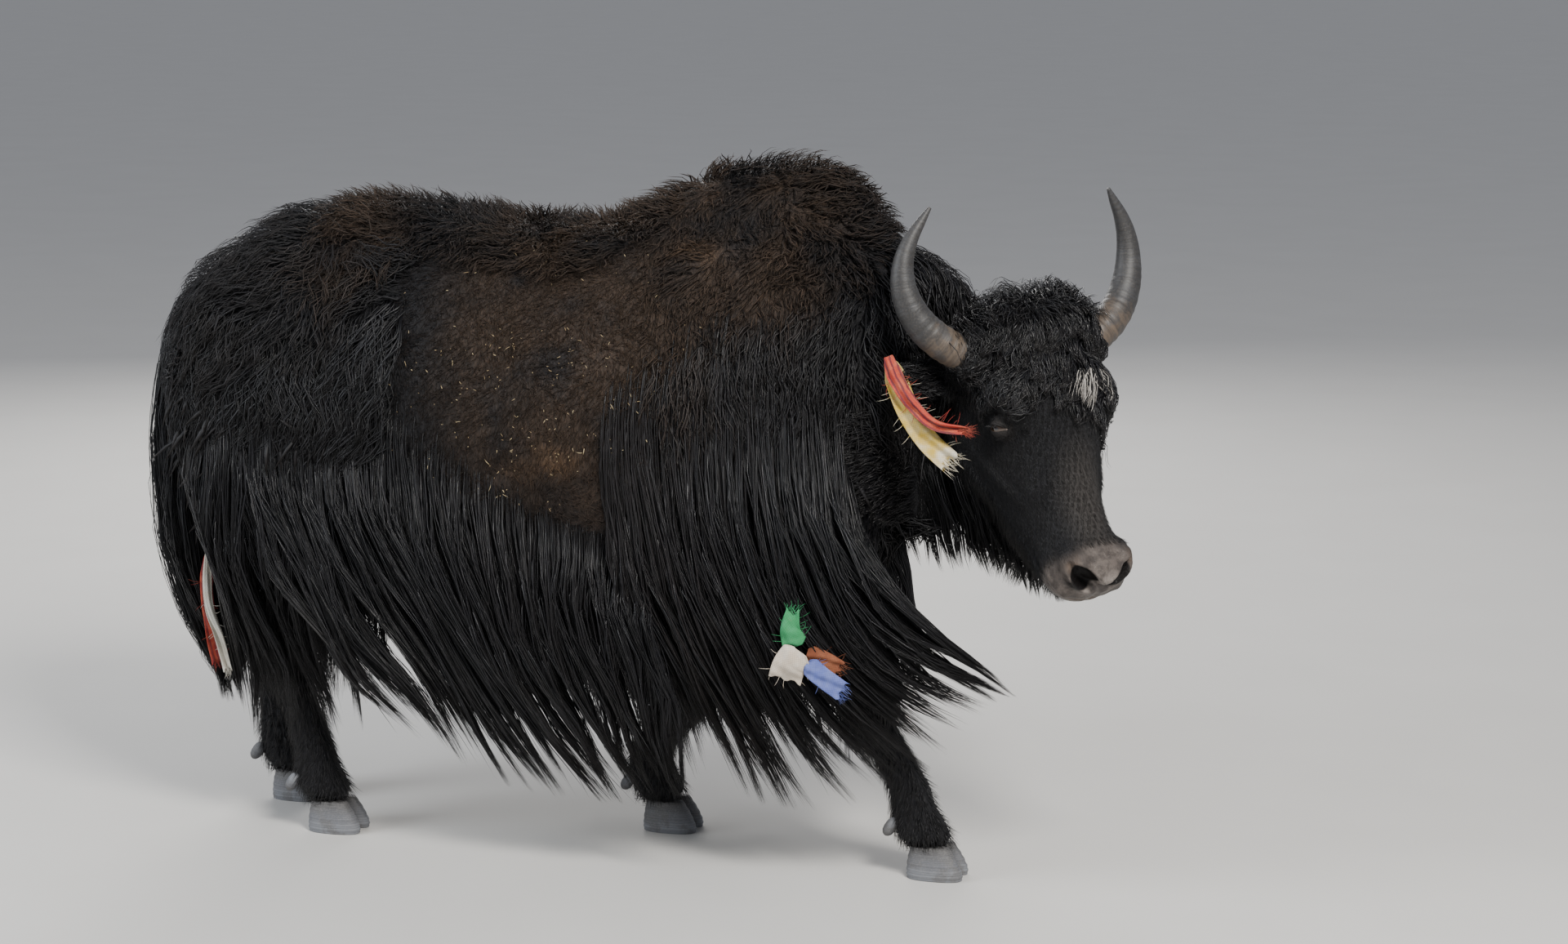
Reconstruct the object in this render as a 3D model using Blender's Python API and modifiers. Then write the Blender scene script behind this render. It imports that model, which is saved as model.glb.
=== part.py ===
# A walking domestic yak at life size, with its head low and turned to its right.
# Metres, +Z up, +X along the body towards the head, +Y to the animal's left.
# The origin is on the floor under the middle of the animal.

import math

import bmesh
import bpy
from mathutils import Matrix, Vector

# Driving dimensions
WITHERS_HEIGHT = 1.365
CROUP_HEIGHT = 1.27
HEAD_LENGTH = 0.525
GAP = 0.0003
UNION_VOXEL = 0.010
SMOOTH_ROUNDS = 5
FLESH_TRIANGLES = 2300

# The head's place: the poll, how far the head turns, dips and rolls
POLL = Vector((0.795, -0.090, 1.085))
HEAD_TURN = math.radians(41)
HEAD_DIP = math.radians(55)
HEAD_ROLL = math.radians(4)

# Where each foot stands on the floor
FEET = {
    "foreleg_right": Vector((0.630, -0.115, 0)),
    "foreleg_left": Vector((0.040, 0.070, 0)),
    "hindleg_right": Vector((-0.604, -0.120, 0)),
    "hindleg_left": Vector((-0.775, 0.090, 0)),
}
CORONET_HEIGHT = 0.062
FETLOCK_HEIGHT = 0.135

COLOURS = {
    "coat_black": ((0.012, 0.011, 0.012, 1), 0.55),
    "coat_brown": ((0.030, 0.019, 0.013, 1), 0.7),
    "horn_grey": ((0.16, 0.14, 0.12, 1), 0.45),
    "hoof_grey": ((0.17, 0.17, 0.18, 1), 0.5),
    "eye_dark": ((0.010, 0.007, 0.005, 1), 0.08),
    "muzzle_grey": ((0.11, 0.09, 0.07, 1), 0.6),
    "ribbon_red": ((0.45, 0.04, 0.02, 1), 0.9),
    "ribbon_yellow": ((0.55, 0.40, 0.08, 1), 0.9),
    "ribbon_green": ((0.02, 0.22, 0.10, 1), 0.9),
    "ribbon_white": ((0.60, 0.55, 0.46, 1), 0.9),
    "ribbon_brown": ((0.22, 0.06, 0.02, 1), 0.9),
    "ribbon_blue": ((0.10, 0.16, 0.48, 1), 0.9),
}


# Small helpers


def clear_scene():
    for obj in list(bpy.data.objects):
        bpy.data.objects.remove(obj)


def new_collection(name, shown):
    collection = bpy.data.collections.new(name)
    collection.hide_render = not shown
    bpy.context.scene.collection.children.link(collection)
    return collection


def material(slot):
    found = bpy.data.materials.get(slot)
    if found:
        return found
    colour, roughness = COLOURS[slot]
    made = bpy.data.materials.new(slot)
    made.use_nodes = True
    shader = made.node_tree.nodes["Principled BSDF"]
    shader.inputs["Base Color"].default_value = colour
    shader.inputs["Roughness"].default_value = roughness
    shader.inputs["Metallic"].default_value = 0
    return made


def object_of(name, mesh, collection, slot=None):
    obj = bpy.data.objects.new(name, mesh)
    collection.objects.link(obj)
    if slot:
        obj.data.materials.clear()
        obj.data.materials.append(material(slot))
        mesh.shade_smooth()
        mesh.set_sharp_from_angle(angle=math.radians(50))
    return obj


def mesh_of(bm, name):
    bmesh.ops.triangulate(bm, faces=bm.faces)
    bmesh.ops.recalc_face_normals(bm, faces=bm.faces)
    if bm.calc_volume(signed=True) < 0:
        bmesh.ops.reverse_faces(bm, faces=bm.faces)
    mesh = bpy.data.meshes.new(name)
    bm.to_mesh(mesh)
    bm.free()
    return mesh


def baked(obj):
    """The object's evaluated mesh, as a mesh of its own in world space."""
    graph = bpy.context.evaluated_depsgraph_get()
    mesh = bpy.data.meshes.new_from_object(obj.evaluated_get(graph))
    mesh.transform(obj.matrix_world)
    return mesh


def helper(mesh, name="helper"):
    """A hidden object that only cuts or is joined."""
    obj = object_of(name, mesh, HELPERS)
    obj.hide_render = True
    obj.display_type = "WIRE"
    return obj


def combined(mesh, other, operation):
    """One mesh cut by, joined to or kept inside another."""
    first = helper(mesh)
    second = helper(other)
    cut = first.modifiers.new("cut", "BOOLEAN")
    cut.operation = operation
    cut.solver = "EXACT"
    cut.object = second
    made = baked(first)
    bpy.data.objects.remove(first)
    bpy.data.objects.remove(second)
    return made


def grown(mesh, by=GAP):
    """A copy of a mesh with every face moved outwards."""
    bm = bmesh.new()
    bm.from_mesh(mesh)
    bm.normal_update()
    moves = [vert.normal * by * 1.5 * min(vert.calc_shell_factor(), 3) for vert in bm.verts]
    for vert, move in zip(bm.verts, moves):
        vert.co += move
    made = bpy.data.meshes.new("grown")
    bm.to_mesh(made)
    bm.free()
    return made


def merged(meshes, name):
    """Several meshes as one, without joining their volumes."""
    bm = bmesh.new()
    for mesh in meshes:
        bm.from_mesh(mesh)
    made = bpy.data.meshes.new(name)
    bm.to_mesh(made)
    bm.free()
    return made


def largest_piece(mesh):
    """The mesh without the crumbs that a cut may leave."""
    bm = bmesh.new()
    bm.from_mesh(mesh)
    left = set(bm.faces)
    islands = []
    while left:
        stack = [left.pop()]
        island = set(stack)
        while stack:
            for edge in stack.pop().edges:
                for face in edge.link_faces:
                    if face in left:
                        left.discard(face)
                        island.add(face)
                        stack.append(face)
        islands.append(island)
    if len(islands) > 1:
        corner = {
            id(island): max(v.co.x + v.co.y + v.co.z for f in island for v in f.verts)
            - min(v.co.x + v.co.y + v.co.z for f in island for v in f.verts)
            for island in islands
        }
        areas = [sum(f.calc_area() for f in island) * corner[id(island)] for island in islands]
        keep = islands[areas.index(max(areas))]
        bmesh.ops.delete(bm, geom=[f for f in bm.faces if f not in keep], context="FACES")
        bm.to_mesh(mesh)
    bm.free()
    return mesh


def spline(rows, steps):
    """Rows of numbers joined by a smooth curve, with steps rows between two."""
    fine = []
    for i in range(len(rows) - 1):
        before = rows[max(i - 1, 0)]
        here = rows[i]
        after = rows[i + 1]
        beyond = rows[min(i + 2, len(rows) - 1)]
        for k in range(steps):
            t = k / steps
            fine.append([
                0.5 * (2 * b + (c - a) * t + (2 * a - 5 * b + 4 * c - d) * t * t
                       + (3 * b - a - 3 * c + d) * t ** 3)
                for a, b, c, d in zip(before, here, after, beyond)
            ])
    fine.append(list(rows[-1]))
    return fine


def loft(name, rings, flat_ends=False):
    """A closed skin over rings of the same number of points, capped at both ends.

    flat_ends closes a flat ring across its two long sides, not towards its middle."""
    bm = bmesh.new()
    loops = [[bm.verts.new(p) for p in ring] for ring in rings]
    for one, two in zip(loops, loops[1:]):
        for i in range(len(one)):
            j = (i + 1) % len(one)
            bm.faces.new((one[i], one[j], two[j], two[i]))
    for ring in (loops[0], loops[-1]):
        if flat_ends:
            for i in range(len(ring) // 2 - 1):
                bm.faces.new((ring[i], ring[i + 1], ring[-2 - i], ring[-1 - i]))
            continue
        middle = bm.verts.new(sum((v.co for v in ring), Vector()) / len(ring))
        for i in range(len(ring)):
            bm.faces.new((ring[i], ring[(i + 1) % len(ring)], middle))
    return mesh_of(bm, name)


def power(value, exponent):
    return math.copysign(abs(value) ** exponent, value)


def ellipsoid(centre, axes, radii, segments=20):
    """An ellipsoid on three axes, as a mesh."""
    bm = bmesh.new()
    bmesh.ops.create_uvsphere(bm, u_segments=segments, v_segments=segments // 2 + 1, radius=1)
    turn = Matrix([[axes[c][r] * radii[c] for c in range(3)] for r in range(3)])
    bmesh.ops.transform(bm, matrix=turn.to_4x4(), verts=bm.verts)
    bmesh.ops.translate(bm, vec=centre, verts=bm.verts)
    return mesh_of(bm, "ellipsoid")


def block(centre, axes, halves, grow=0.0):
    """A box on three axes, as a mesh."""
    bm = bmesh.new()
    bmesh.ops.create_cube(bm, size=2)
    turn = Matrix([[axes[c][r] * (halves[c] + grow) for c in range(3)] for r in range(3)])
    bmesh.ops.transform(bm, matrix=turn.to_4x4(), verts=bm.verts)
    bmesh.ops.translate(bm, vec=centre, verts=bm.verts)
    return mesh_of(bm, "block")


WORLD_AXES = (Vector((1, 0, 0)), Vector((0, 1, 0)), Vector((0, 0, 1)))


class HeadFrame:
    """The head's own axes: along the face, to its left, and out of the forehead."""

    def __init__(self):
        level = Vector((math.cos(HEAD_TURN), -math.sin(HEAD_TURN), 0))
        self.along = level * math.cos(HEAD_DIP) + Vector((0, 0, -math.sin(HEAD_DIP)))
        left = Vector((math.sin(HEAD_TURN), math.cos(HEAD_TURN), 0))
        out = self.along.cross(left)
        self.level = level
        self.left = left * math.cos(HEAD_ROLL) + out * math.sin(HEAD_ROLL)
        self.out = self.along.cross(self.left)
        self.axes = (self.along, self.left, self.out)

    def at(self, along, left, out):
        return POLL + self.along * along + self.left * left + self.out * out

    def lump(self, centre, radii, segments=20):
        return ellipsoid(self.at(*centre), self.axes, radii, segments)


HEAD = HeadFrame()


# The trunk, neck and limbs, as flesh with its short coat


def trunk():
    """x, top, bottom, half width, height of the widest place, narrowing of the crest."""
    stations = [
        (-0.945, 0.98, 0.74, 0.09, 0.86, 0.0),
        (-0.915, 1.06, 0.64, 0.17, 0.86, 0.1),
        (-0.84, 1.15, 0.55, 0.235, 0.86, 0.15),
        (-0.73, 1.225, 0.50, 0.275, 0.85, 0.2),
        (-0.56, CROUP_HEIGHT + 0.010, 0.49, 0.29, 0.84, 0.3),
        (-0.40, CROUP_HEIGHT, 0.47, 0.305, 0.83, 0.25),
        (-0.22, 1.250, 0.455, 0.32, 0.81, 0.15),
        (-0.07, 1.243, 0.445, 0.325, 0.80, 0.15),
        (0.04, 1.285, 0.445, 0.325, 0.79, 0.25),
        (0.14, 1.340, 0.45, 0.315, 0.78, 0.4),
        (0.25, WITHERS_HEIGHT, 0.46, 0.30, 0.78, 0.48),
        (0.35, WITHERS_HEIGHT + 0.008, 0.475, 0.285, 0.79, 0.48),
        (0.44, 1.340, 0.52, 0.265, 0.80, 0.45),
        (0.51, 1.255, 0.60, 0.220, 0.84, 0.4),
        (0.56, 1.120, 0.69, 0.155, 0.86, 0.3),
        (0.59, 0.98, 0.76, 0.08, 0.86, 0.1),
    ]
    rings = []
    for x, top, bottom, wide, level, crest in spline(stations, 3):
        ring = []
        for i in range(28):
            angle = 2 * math.pi * i / 28
            rise = math.sin(angle)
            if rise > 0:
                z = level + (top - level) * power(rise, 0.9)
                y = wide * power(math.cos(angle), 0.8) * (1 - crest * rise ** 2)
            else:
                z = level + (level - bottom) * power(rise, 0.9)
                y = wide * power(math.cos(angle), 0.85)
            ring.append(Vector((x, y, z)))
        rings.append(ring)
    return loft("trunk", rings)


def limb(stations, sides=16, steps=3):
    """A tube of ellipses: x, y, z, half depth fore and aft, half width sideways."""
    rows = spline(stations, steps)
    rings = []
    for i, (x, y, z, deep, wide) in enumerate(rows):
        centre = Vector((x, y, z))
        back = Vector(rows[max(i - 1, 0)][:3])
        front = Vector(rows[min(i + 1, len(rows) - 1)][:3])
        way = (front - back).normalized()
        across = (Vector((0, 1, 0)) - way * way.y).normalized()
        fore = across.cross(way)
        rings.append([
            centre + fore * deep * math.cos(a) + across * wide * math.sin(a)
            for a in (2 * math.pi * k / sides for k in range(sides))
        ])
    return loft("limb", rings)


def neck():
    """x, y, z, then how far it reaches up, down and sideways."""
    rows = spline([
        (0.33, 0.000, 0.93, 0.360, 0.360, 0.255),
        (0.46, -0.010, 0.925, 0.340, 0.320, 0.215),
        (0.56, -0.030, 0.925, 0.272, 0.278, 0.175),
        (0.64, -0.050, 0.910, 0.222, 0.264, 0.145),
        (0.72, -0.070, 0.910, 0.178, 0.272, 0.125),
        (0.78, -0.095, 0.930, 0.140, 0.275, 0.100),
    ], 4)
    rings = []
    for i, (x, y, z, rise, drop, wide) in enumerate(rows):
        centre = Vector((x, y, z))
        back = Vector(rows[max(i - 1, 0)][:3])
        front = Vector(rows[min(i + 1, len(rows) - 1)][:3])
        way = (front - back).normalized()
        across = Vector((0, 0, 1)).cross(way).normalized()
        up = way.cross(across)
        rings.append([
            centre + up * (rise if math.sin(a) > 0 else drop) * math.sin(a)
            + across * wide * power(math.cos(a), 0.85) * (1 - 0.3 * abs(math.sin(a)) ** 2)
            for a in (2 * math.pi * k / 24 for k in range(24))
        ])
    return loft("neck", rings)


def foreleg(foot, elbow, knee):
    """From inside the shoulder to the pastern, over the hoof."""
    fetlock = foot + Vector((-0.040, 0, FETLOCK_HEIGHT))
    pastern = foot + Vector((-0.012, 0, 0.078))
    return limb([
        (elbow.x - 0.04, elbow.y * 0.85, elbow.z + 0.28, 0.150, 0.080),
        (elbow.x - 0.01, elbow.y * 0.95, elbow.z + 0.10, 0.125, 0.090),
        (elbow.x + 0.01, elbow.y, elbow.z - 0.03, 0.095, 0.080),
        (*(elbow * 0.45 + knee * 0.55), 0.070, 0.064),
        (*(knee + Vector((0, 0, 0.03))), 0.058, 0.055),
        (*(knee - Vector((0, 0, 0.035))), 0.054, 0.050),
        (*(knee * 0.5 + fetlock * 0.5), 0.043, 0.043),
        (*(fetlock + Vector((0, 0, 0.02))), 0.047, 0.049),
        (*(fetlock - Vector((0, 0, 0.02))), 0.050, 0.054),
        (*pastern, 0.050, 0.056),
        (*(foot + Vector((0.004, 0, 0.035))), 0.050, 0.054),
    ])


def hindleg(foot, stifle, hock):
    """From inside the haunch to the pastern, over the hoof."""
    fetlock = foot + Vector((-0.036, 0, FETLOCK_HEIGHT))
    pastern = foot + Vector((-0.012, 0, 0.078))
    return limb([
        (stifle.x - 0.16, stifle.y * 0.80, stifle.z + 0.36, 0.170, 0.085),
        (stifle.x - 0.12, stifle.y * 0.95, stifle.z + 0.17, 0.185, 0.100),
        (stifle.x - 0.07, stifle.y, stifle.z + 0.01, 0.155, 0.095),
        (*(stifle * 0.55 + hock * 0.45 + Vector((-0.01, 0, 0))), 0.095, 0.070),
        (*(hock + Vector((0.008, 0, 0.06))), 0.064, 0.052),
        (*hock, 0.062, 0.050),
        (*(hock + Vector((0.012, 0, -0.06))), 0.052, 0.046),
        (*(hock * 0.45 + fetlock * 0.55), 0.043, 0.043),
        (*(fetlock + Vector((0, 0, 0.02))), 0.047, 0.049),
        (*(fetlock - Vector((0, 0, 0.02))), 0.050, 0.054),
        (*pastern, 0.050, 0.056),
        (*(foot + Vector((0.004, 0, 0.035))), 0.050, 0.054),
    ])


def tail_dock():
    return limb([
        (-0.82, 0.000, 1.110, 0.050, 0.050),
        (-0.890, 0.000, 1.090, 0.045, 0.045),
        (-0.935, 0.000, 1.010, 0.036, 0.040),
        (-0.945, -0.005, 0.900, 0.030, 0.034),
        (-0.940, -0.010, 0.780, 0.022, 0.026),
        (-0.935, -0.015, 0.720, 0.014, 0.016),
    ], sides=12)


# The head


def skull():
    """along, forehead, underside, then half widths at the brow, cheek and jaw."""
    stations = [
        (-0.050, -0.070, -0.150, 0.060, 0.070, 0.060),
        (-0.020, -0.024, -0.210, 0.098, 0.100, 0.070),
        (0.040, 0.018, -0.262, 0.130, 0.118, 0.080),
        (0.100, 0.038, -0.285, 0.136, 0.122, 0.082),
        (0.160, 0.038, -0.325, 0.130, 0.122, 0.080),
        (0.215, 0.030, -0.330, 0.120, 0.114, 0.072),
        (0.275, 0.012, -0.314, 0.092, 0.102, 0.062),
        (0.335, -0.010, -0.286, 0.070, 0.088, 0.056),
        (0.395, -0.028, -0.252, 0.062, 0.078, 0.054),
        (0.445, -0.038, -0.216, 0.064, 0.078, 0.058),
        (0.485, -0.048, -0.196, 0.062, 0.076, 0.054),
        (0.512, -0.066, -0.172, 0.046, 0.058, 0.042),
        (HEAD_LENGTH, -0.090, -0.145, 0.022, 0.028, 0.022),
    ]
    rings = []
    for along, top, bottom, brow, cheek, jaw in spline(stations, 3):
        ring = []
        for i in range(28):
            angle = 2 * math.pi * i / 28
            rise = math.sin(angle)
            share = (rise + 1) / 2
            if share > 0.5:
                wide = cheek + (brow - cheek) * (share - 0.5) * 2
            else:
                wide = jaw + (cheek - jaw) * share * 2
            ring.append(HEAD.at(
                along,
                wide * power(math.cos(angle), 0.72),
                bottom + (top - bottom) * (power(rise, 0.9) + 1) / 2,
            ))
        rings.append(ring)
    return loft("skull", rings)


def head_lumps():
    """The forms that stand on the skull, on both sides: centre and radii."""
    lumps = [
        HEAD.lump((0.024, 0, 0.004), (0.074, 0.135, 0.050)),
        HEAD.lump((0.478, 0, -0.125), (0.046, 0.068, 0.044)),
        HEAD.lump((0.452, 0, -0.180), (0.046, 0.050, 0.034)),
        HEAD.lump((0.497, 0, -0.072), (0.032, 0.050, 0.032)),
    ]
    for side in (-1, 1):
        lumps += [
            HEAD.lump((0.172, side * 0.104, 0.002), (0.050, 0.032, 0.036)),
            HEAD.lump((0.160, side * 0.086, -0.190), (0.110, 0.040, 0.092)),
            HEAD.lump((0.045, side * 0.128, -0.030), (0.050, 0.046, 0.046)),
            HEAD.lump((0.475, side * 0.050, -0.074), (0.044, 0.032, 0.036)),
            HEAD.lump((0.260, side * 0.082, -0.080), (0.090, 0.026, 0.050)),
        ]
    return lumps


EYE_RADIUS = 0.0205
EYE_PLACE = (0.197, 0.108, -0.046)
NOSTRIL_PLACE = (0.507, 0.052, -0.088)


def eye(side):
    along, left, out = EYE_PLACE
    return HEAD.lump((along, side * left, out), (EYE_RADIUS,) * 3, segments=12)


def eye_opening(side):
    """The slot between the lids, in front of the eyeball."""
    along, left, out = EYE_PLACE
    return HEAD.lump((along, side * (left + 0.024), out), (0.021, 0.022, 0.0105), segments=10)


def nostril_opening(side):
    along, left, out = NOSTRIL_PLACE
    axis = (HEAD.along * 0.80 + HEAD.left * 0.60 * side).normalized()
    up = (HEAD.out - axis * HEAD.out.dot(axis)).normalized()
    return ellipsoid(
        HEAD.at(along, side * left, out), (axis, axis.cross(up), up), (0.030, 0.018, 0.012), 8)


# Horns, ears and hooves


HORN_ROOT = (0.052, 0.135, -0.034)
# Outwards, backwards and upwards from the root, then the radius
HORN_COURSE = (
    (-0.020, 0.000, -0.016, 0.032),
    (0.020, 0.000, 0.010, 0.033),
    (0.056, 0.006, 0.034, 0.0325),
    (0.086, 0.016, 0.064, 0.0305),
    (0.107, 0.026, 0.102, 0.0275),
    (0.116, 0.034, 0.143, 0.0235),
    (0.113, 0.037, 0.184, 0.019),
    (0.099, 0.036, 0.222, 0.014),
    (0.078, 0.032, 0.256, 0.0085),
    (0.063, 0.028, 0.279, 0.0035),
)


def horn(side):
    """A round tube along the horn's course, tapering to its tip."""
    root = HEAD.at(HORN_ROOT[0], side * HORN_ROOT[1], HORN_ROOT[2])
    outwards = HEAD.left * side
    rows = spline(HORN_COURSE, 1)
    points = [
        root + outwards * out - HEAD.level * back + Vector((0, 0, up))
        for out, back, up, _ in rows
    ]
    rings = []
    for i, centre in enumerate(points):
        way = (points[min(i + 1, len(points) - 1)] - points[max(i - 1, 0)]).normalized()
        one = way.cross(HEAD.level).normalized()
        two = way.cross(one)
        radius = rows[i][3]
        rings.append([
            centre + (one * math.cos(a) + two * math.sin(a)) * radius
            for a in (2 * math.pi * k / 12 for k in range(12))
        ])
    return loft("horn", rings)


EAR_ROOT = (0.076, 0.108, -0.100)
EAR_LENGTH = 0.150


# How far each ear points outwards, backwards and upwards
EAR_WAYS = {-1: (0.98, 0.03, 0.20), 1: (0.62, 0.74, -0.12)}


def ear_way(side):
    out, back, up = EAR_WAYS[side]
    return (HEAD.left * side * out - HEAD.level * back + Vector((0, 0, up))).normalized()


def ear(side):
    """A leaf with a hollow front, held out sideways or backwards."""
    root = HEAD.at(EAR_ROOT[0], side * EAR_ROOT[1], EAR_ROOT[2])
    way = ear_way(side)
    front = (HEAD.level - way * HEAD.level.dot(way)).normalized()
    up = way.cross(front) * side
    rings = []
    for share, wide, thick, cup in spline((
        (-0.18, 0.018, 0.016, 0.000),
        (0.00, 0.022, 0.016, 0.002),
        (0.25, 0.034, 0.013, 0.010),
        (0.50, 0.040, 0.010, 0.014),
        (0.75, 0.031, 0.008, 0.010),
        (0.92, 0.016, 0.006, 0.004),
        (1.00, 0.005, 0.004, 0.000),
    ), 1):
        centre = root + way * EAR_LENGTH * share
        ring = []
        for k in range(12):
            a = 2 * math.pi * k / 12
            hollow = cup if math.sin(a) > 0 else cup * 0.6
            ring.append(
                centre + up * wide * math.cos(a)
                + front * (thick * math.sin(a) - hollow * (1 - abs(math.cos(a))))
            )
        rings.append(ring)
    return loft("ear", rings)


CLAW_MIDDLE = 0.019


def claw(foot, side, toe_out):
    """One of the two claws of a foot: flat sole, curved outer wall, straight inner wall."""
    # height, length ahead of and behind the middle, outer width, inner width
    rows = (
        (0.000, 0.064, 0.044, 0.047, 0.003),
        (0.014, 0.064, 0.045, 0.048, 0.003),
        (0.038, 0.053, 0.043, 0.045, 0.004),
        (CORONET_HEIGHT, 0.037, 0.038, 0.039, 0.005),
    )
    turn = math.radians(toe_out) * side
    ahead = Vector((math.cos(turn), math.sin(turn), 0))
    outwards = Vector((-math.sin(turn), math.cos(turn), 0)) * side
    rings = []
    for height, front, back, outer, inner in rows:
        ring = []
        for k in range(12):
            a = 2 * math.pi * k / 12
            reach = front if math.cos(a) > 0 else back
            across = (outer if math.sin(a) > 0 else inner) - CLAW_MIDDLE
            ring.append(
                foot + Vector((0, 0, height)) + ahead * reach * power(math.cos(a), 0.9)
                + outwards * (CLAW_MIDDLE + across * abs(math.sin(a)) ** 0.75)
            )
        rings.append(ring)
    return loft("claw", rings)


def dewclaw(foot, side):
    """The small horny knob behind the fetlock."""
    centre = foot + Vector((-0.077, side * 0.027, FETLOCK_HEIGHT - 0.037))
    tilt = Vector((-0.55, 0, -0.83)).normalized()
    across = Vector((0, 1, 0))
    return ellipsoid(centre, (tilt, across, tilt.cross(across)), (0.021, 0.014, 0.012), 6)


# The long hair, as closed forms that hang over the flesh


def hanging(top, bottom, sides_out, thickness, steps=2):
    """A curtain of hair between a top and a bottom line.

    top and bottom hold matching (x, z) places. sides_out gives, from top to
    bottom, the curtain's distance out to the side, and thickness its depth."""
    tops = spline(top, steps)
    bottoms = spline(bottom, steps)
    outs = list(zip(sides_out, thickness))
    last = len(outs) - 1
    rings = []
    for n, ((x0, z0), (x1, z1)) in enumerate(zip(tops, bottoms)):
        edge = min(n, len(tops) - 1 - n) / (steps * 0.8)
        full = min(1.0, 0.35 + 0.65 * edge)
        outer = []
        inner = []
        for k, (out, thick) in enumerate(outs):
            t = k / last
            x = x0 * (1 - t) ** 2 + (x0 * 0.8 + x1 * 0.2) * 2 * t * (1 - t) + x1 * t * t
            z = z0 + (z1 - z0) * (0.85 * t + 0.15 * t * t)
            outer.append((x, out, z))
            inner.append((x, out - thick * full, z))
        rings.append(outer + inner[::-1])
    return rings


def curtain(side, *arguments, **options):
    rings = hanging(*arguments, **options)
    rings = [[Vector((x, side * y, z)) for x, y, z in ring] for ring in rings]
    return loft("curtain", rings, flat_ends=True)


SKIRT_TOP = ((-0.530, 0.835), (-0.38, 0.800), (-0.20, 0.735), (-0.04, 0.680), (0.085, 0.640))
SKIRT_BOTTOM = ((-0.500, 0.272), (-0.34, 0.292), (-0.19, 0.215), (-0.02, 0.195), (0.150, 0.180))
SKIRT_OUT = (0.325, 0.352, 0.350, 0.335, 0.315)
SKIRT_THICK = (0.060, 0.095, 0.085, 0.065, 0.030)

SHOULDER_TOP = ((0.070, 0.800), (0.22, 0.890), (0.34, 0.890), (0.45, 0.870), (0.540, 0.800))
SHOULDER_OUT = (0.290, 0.335, 0.345, 0.310, 0.255)
SHOULDER_THICK = (0.060, 0.110, 0.120, 0.100, 0.040)
SHOULDER_BOTTOM_RIGHT = (
    (0.140, 0.310), (0.27, 0.225), (0.45, 0.215), (0.640, 0.300), (0.765, 0.430))
SHOULDER_BOTTOM_LEFT = (
    (0.130, 0.470), (0.20, 0.300), (0.29, 0.250), (0.38, 0.270), (0.470, 0.380))
SHOULDER_TOP_LEFT = ((0.105, 0.860), (0.19, 0.890), (0.28, 0.890), (0.36, 0.870), (0.430, 0.800))

THIGH_TOP = ((-0.810, 0.850), (-0.76, 0.890), (-0.69, 0.910), (-0.61, 0.900), (-0.530, 0.860))
THIGH_BOTTOM_RIGHT = (
    (-0.780, 0.340), (-0.74, 0.260), (-0.67, 0.238), (-0.60, 0.250), (-0.505, 0.280))
THIGH_BOTTOM_LEFT = (
    (-0.850, 0.340), (-0.80, 0.265), (-0.72, 0.240), (-0.63, 0.255), (-0.520, 0.280))
THIGH_OUT = (0.265, 0.310, 0.315, 0.275, 0.215)
THIGH_THICK = (0.050, 0.110, 0.130, 0.110, 0.060)


def chest_fringe():
    """The hair that hangs between the forelegs."""
    rows = spline((
        (0.150, 0.020, 0.480, 0.300),
        (0.240, 0.050, 0.520, 0.215),
        (0.330, 0.060, 0.540, 0.205),
        (0.420, 0.055, 0.580, 0.220),
        (0.490, 0.040, 0.640, 0.300),
        (0.530, 0.015, 0.680, 0.440),
    ), 2)
    rings = []
    for x, wide, top, bottom in rows:
        ring = []
        for k in range(12):
            a = 2 * math.pi * k / 12
            rise = (math.sin(a) + 1) / 2
            ring.append(Vector((
                x + (1 - rise) * 0.05, -0.01 + wide * math.cos(a) * (0.35 + 0.65 * rise),
                bottom + (top - bottom) * rise,
            )))
        rings.append(ring)
    return loft("chest fringe", rings)


def throat_fringe():
    """The hair under the jaw and throat, in the head's own axes: a keel along it."""
    rows = spline((
        (0.060, 0.030, -0.270, -0.330),
        (0.130, 0.055, -0.280, -0.385),
        (0.220, 0.060, -0.290, -0.412),
        (0.310, 0.054, -0.260, -0.385),
        (0.390, 0.047, -0.215, -0.330),
        (0.450, 0.036, -0.190, -0.268),
        (0.480, 0.014, -0.190, -0.222),
    ), 1)
    rings = []
    for along, wide, top, bottom in rows:
        ring = []
        for k in range(10):
            a = 2 * math.pi * k / 10
            rise = (math.sin(a) + 1) / 2
            ring.append(HEAD.at(
                along, wide * math.cos(a) * (0.45 + 0.55 * rise), bottom + (top - bottom) * rise))
        rings.append(ring)
    return loft("throat fringe", rings)


def tail_switch():
    """The bushy hair of the tail: x, y, z, half depth, half width."""
    return limb([
        (-0.895, 0.000, 1.090, 0.050, 0.060),
        (-0.930, -0.005, 0.990, 0.058, 0.085),
        (-0.938, -0.020, 0.860, 0.066, 0.108),
        (-0.930, -0.040, 0.700, 0.078, 0.125),
        (-0.908, -0.060, 0.540, 0.080, 0.118),
        (-0.880, -0.075, 0.410, 0.064, 0.085),
        (-0.855, -0.080, 0.330, 0.040, 0.045),
        (-0.840, -0.080, 0.280, 0.014, 0.016),
    ], sides=12, steps=2)


# The cloth ribbons that it wears


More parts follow.
